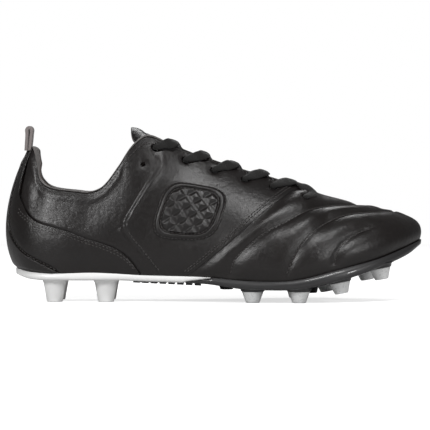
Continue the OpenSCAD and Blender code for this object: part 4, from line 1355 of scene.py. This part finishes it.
def plastic(name, dark, light, rough, clear=0.0):
    """Moulded plastic with faint flow marks and scuffs."""
    m = Nodes(name)
    flow, scuffs = m.noise(24, 3), m.noise(600, 4)
    m.bumps((flow, 0.0004, 0.2), (scuffs, 0.00005, 0.25))
    return m.finish(m.tint(flow, dark, light), m.spread(scuffs, rough - 0.06, rough + 0.12),
                    Transmission_Weight=clear, Subsurface_Weight=0.15 if clear else 0.0,
                    Subsurface_Radius=(0.004, 0.004, 0.004), Coat_Weight=0.25)


def weave(name, dark, light, pitch, rough, axes=("X", "Z")):
    """Woven cloth or webbing: two crossing sets of threads with a little fuzz."""
    m = Nodes(name)
    threads = m.math("MAXIMUM", m.wave(pitch, axes[0]), m.wave(pitch, axes[1]))
    fuzz, stains = m.noise(1400, 4), m.noise(45, 3)
    m.bumps((threads, 0.0002, 0.7), (fuzz, 0.0001, 0.5))
    shade = m.math("MULTIPLY", threads, m.spread(stains, 0.7, 1.0))
    return m.finish(m.tint(shade, dark, light), m.spread(fuzz, rough - 0.08, rough + 0.08),
                    Sheen_Weight=0.25, Sheen_Roughness=0.6, Specular_IOR_Level=0.25)


def braid(name, dark, light, rough=0.86, shine=0.2):
    """Braided cord: threads that cross on the diagonal."""
    m = Nodes(name)
    slanted = m.math("MULTIPLY", m.wave(420, "DIAGONAL", 1.2), 0.5)
    crossed = m.math("MAXIMUM", m.wave(520, "X", 1.5), m.wave(380, "Z", 1.5))
    threads = m.math("ADD", slanted, m.math("MULTIPLY", crossed, 0.5))
    fuzz = m.noise(1600, 4)
    m.bumps((threads, 0.0003, 0.8), (fuzz, 0.0001, 0.5))
    return m.finish(m.tint(threads, dark, light), m.spread(fuzz, rough - 0.08, rough + 0.08),
                    Sheen_Weight=0.15, Specular_IOR_Level=shine)


def board_material(name, dark, light):
    """Pressed fibre board."""
    m = Nodes(name)
    fibres, tone = m.noise(700, 6), m.noise(30, 3)
    m.bumps((fibres, 0.0002, 0.6), (tone, 0.0004, 0.3))
    return m.finish(m.tint(fibres, dark, light), m.spread(tone, 0.7, 0.9))


def give(obj, material):
    """Puts one material on an object."""
    obj.data.materials.clear()
    obj.data.materials.append(material)
    return obj


LEATHER = leather("leather_black", (0.0035, 0.0026, 0.0025), (0.009, 0.0068, 0.0063), 0.34)
LEATHER_VAMP = leather("leather_vamp", (0.004, 0.003, 0.0028), (0.01, 0.0076, 0.007), 0.34)
BLACK_PLASTIC = plastic("plate_black", (0.011, 0.011, 0.012), (0.022, 0.021, 0.022), 0.38)
WHITE_PLASTIC = plastic("plate_white", (0.76, 0.76, 0.755), (0.84, 0.84, 0.835), 0.3)
TIP_PLASTIC = plastic("tip_white", (0.72, 0.73, 0.73), (0.82, 0.82, 0.82), 0.26, clear=0.12)
LINING = weave("lining_taupe", (0.1, 0.08, 0.073), (0.2, 0.165, 0.152), 900, 0.85)
BINDING = weave("binding_grey", (0.05, 0.045, 0.043), (0.13, 0.12, 0.115), 1100, 0.7)
WEBBING = weave("webbing_taupe", (0.09, 0.078, 0.075), (0.21, 0.185, 0.18), 700, 0.85, ("Y", "Z"))
SOCK = weave("sock_cloth", (0.018, 0.017, 0.017), (0.045, 0.042, 0.041), 800, 0.88, ("X", "Y"))
LACE_CORD = braid("lace_braid", (0.004, 0.004, 0.004), (0.014, 0.013, 0.0125))
# Black thread, its colour lifted well above the leather's so that the stitches show as light dots:
# partly the thread's own dark grey, partly painted highlight
THREAD = braid("thread_black", (0.01, 0.0085, 0.008), (0.036, 0.031, 0.029), 0.5, 0.5)
AGLET = plastic("aglet_black", (0.012, 0.012, 0.012), (0.02, 0.02, 0.02), 0.3)
STIFFENER = board_material("stiffener", (0.42, 0.36, 0.28), (0.62, 0.55, 0.45))
BOARD = board_material("board_fibre", (0.3, 0.24, 0.17), (0.5, 0.42, 0.32))


# ---------------------------------------------------------------- the boot
def add(obj, material, slot, body, *nodes):
    """Finishes a piece: its material, the body it rides on and the CAD nodes it stands for."""
    give(obj, material)
    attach(obj, body)
    if nodes:
        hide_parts(*nodes)
    return obj


def build_boot():
    for side, word in ((LATERAL, "lateral"), (MEDIAL, "medial")):
        add(quarter("quarter_skin_" + word, side), LEATHER, "leather", "boot", "quarter_" + word)
        add(heel_overlay("heel_panel_" + word, side), LEATHER, "leather", "boot",
            "heel_overlay_" + word)
        add(badge("side_patch_" + word, side), LEATHER, "leather", "boot", "badge_" + word)
    add(heel_strip("heel_spine"), LEATHER, "leather", "boot", "heel_strip")
    add(vamp("vamp_skin"), LEATHER_VAMP, "leather", "boot", "vamp", "vamp_padding")
    add(vamp_lining("vamp_inside"), LINING, "lining_fabric", "boot", "vamp_lining")
    add(collar_bead("collar_rim"), BINDING, "binding_fabric", "boot", "collar_binding")
    add(collar_lining("collar_inside"), LINING, "lining_fabric", "boot", "quarter_lining",
        "collar_padding")
    add(tongue_cover("tongue_front"), LEATHER, "leather", "tongue", "tongue_cover",
        "tongue_padding")
    add(tongue_lining("tongue_back"), LINING, "lining_fabric", "tongue", "tongue_lining")
    add(lace("lace_braid"), LACE_CORD, "lace_cord", "boot", "lace")
    add(lace_tips("lace_ends"), AGLET, "aglet", "boot", "lace_tips")
    add(heel_plate("heel_sole"), WHITE_PLASTIC, "plate_white", "boot", "heel_plate")
    add(forefoot_plate("forefoot_sole"), BLACK_PLASTIC, "plate_black", "boot", "forefoot_plate")
    add(stud_tips("stud_caps"), TIP_PLASTIC, "plate_white", "boot", "forefoot_stud_tips")
    add(sockliner("sock_pad"), SOCK, "sock_fabric", "footbed", "sockliner")
    add(pull_tab("heel_loop"), WEBBING, "webbing", "heel_tab", "pull_tab")
    add(seam_stitches("seam_threads", boot_seams()), THREAD, "leather", "boot")


def finish_cad_nodes():
    """Materials for the CAD nodes that still show inside the boot and under the arch."""
    kept = {"arch_bridge": BLACK_PLASTIC, "insole_board": BOARD, "toe_puff": STIFFENER,
            "heel_counter": STIFFENER, "eyestay_lateral": LEATHER, "eyestay_medial": LEATHER}
    for name, material in kept.items():
        give(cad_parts[name], material)
    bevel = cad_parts["arch_bridge"].modifiers.new("soft_edges", "BEVEL")
    bevel.width, bevel.segments, bevel.limit_method = 0.45 * MM, 3, "ANGLE"


# ---------------------------------------------------------------- studio
def floor_material():
    """Pale paper: white to the camera, but a dim bounce for the boot standing on it."""
    m = Nodes("studio_floor")
    tone = m.noise(3, 2)
    m.bumps((m.noise(200, 3), 0.0001, 0.1),)
    seen = m.add("ShaderNodeLightPath").outputs["Is Camera Ray"]
    m.shader.inputs["Emission Color"].default_value = (1, 1, 1, 1)
    m.link(m.math("MULTIPLY", seen, FLOOR_GLOW), m.shader.inputs["Emission Strength"])
    return m.finish(m.tint(seen, (0.6, 0.6, 0.6), (0.9, 0.9, 0.9)), m.spread(tone, 0.6, 0.7))


def softbox(name, at, target, size, power):
    """A rectangular light at one place that faces another, in metres and watts."""
    light = bpy.data.lights.new(name, "AREA")
    light.shape, light.size, light.size_y, light.energy = "RECTANGLE", size[0], size[1], power
    obj = linked(name, light)
    obj.location = at
    obj.rotation_euler = (Vector(target) - Vector(at)).to_track_quat("-Z", "Y").to_euler()


# Camera in metres and degrees: it sees FRAME_WIDTH at the target
VIEW_TARGET, VIEW_DISTANCE, VIEW_RISE = Vector((0, 0, 0.059)), 1.8, 1.2
FRAME_WIDTH, SENSOR = 0.2967, 36.0
SKY_LIGHT, FLOOR_GLOW = 0.16, 0.68


def sky():
    """White background to the camera, and a dim even light on the boot."""
    world = bpy.data.worlds.new("studio_world")
    bpy.context.scene.world = world
    world.use_nodes = True
    tree = world.node_tree
    background = tree.nodes["Background"]
    background.inputs["Color"].default_value = (1, 1, 1, 1)
    seen = tree.nodes.new("ShaderNodeLightPath").outputs["Is Camera Ray"]
    strength = tree.nodes.new("ShaderNodeMapRange")
    strength.inputs["To Min"].default_value = SKY_LIGHT
    tree.links.new(seen, strength.inputs["Value"])
    tree.links.new(strength.outputs["Result"], background.inputs["Strength"])


def studio():
    """Floor, sky and soft lights."""
    sky()
    mesh = bpy.data.meshes.new("floor")
    mesh.from_pydata([(-4, -4, 0), (4, -4, 0), (4, 1.2, 0), (-4, 1.2, 0)], [], [(0, 1, 2, 3)])
    floor = linked("floor", mesh)
    give(floor, floor_material())
    softbox("key", (-0.62, -0.78, 0.5), (0, 0, 0.05), (0.16, 0.24), 5.4)
    softbox("top", (0.2, -0.6, 0.95), (0, 0, 0.05), (0.4, 0.1), 5.6)
    softbox("fill", (0.75, -0.85, 0.4), (0.05, 0, 0.05), (0.12, 0.24), 3.2)
    softbox("back", (-0.1, 0.8, 0.8), (0, 0, 0.07), (0.7, 0.2), 3)


def camera():
    data = bpy.data.cameras.new("photo_camera")
    data.sensor_width = SENSOR
    data.lens = SENSOR * VIEW_DISTANCE / FRAME_WIDTH
    data.clip_start = 0.01
    cam = linked("photo_camera", data)
    rise = math.radians(VIEW_RISE)
    cam.location = VIEW_TARGET + Vector((0, -math.cos(rise), math.sin(rise))) * VIEW_DISTANCE
    cam.rotation_euler = (VIEW_TARGET - cam.location).to_track_quat("-Z", "Y").to_euler()
    bpy.context.scene.camera = cam


build_boot()
finish_cad_nodes()
studio()
camera()
bpy.context.scene.view_settings.view_transform = "Standard"
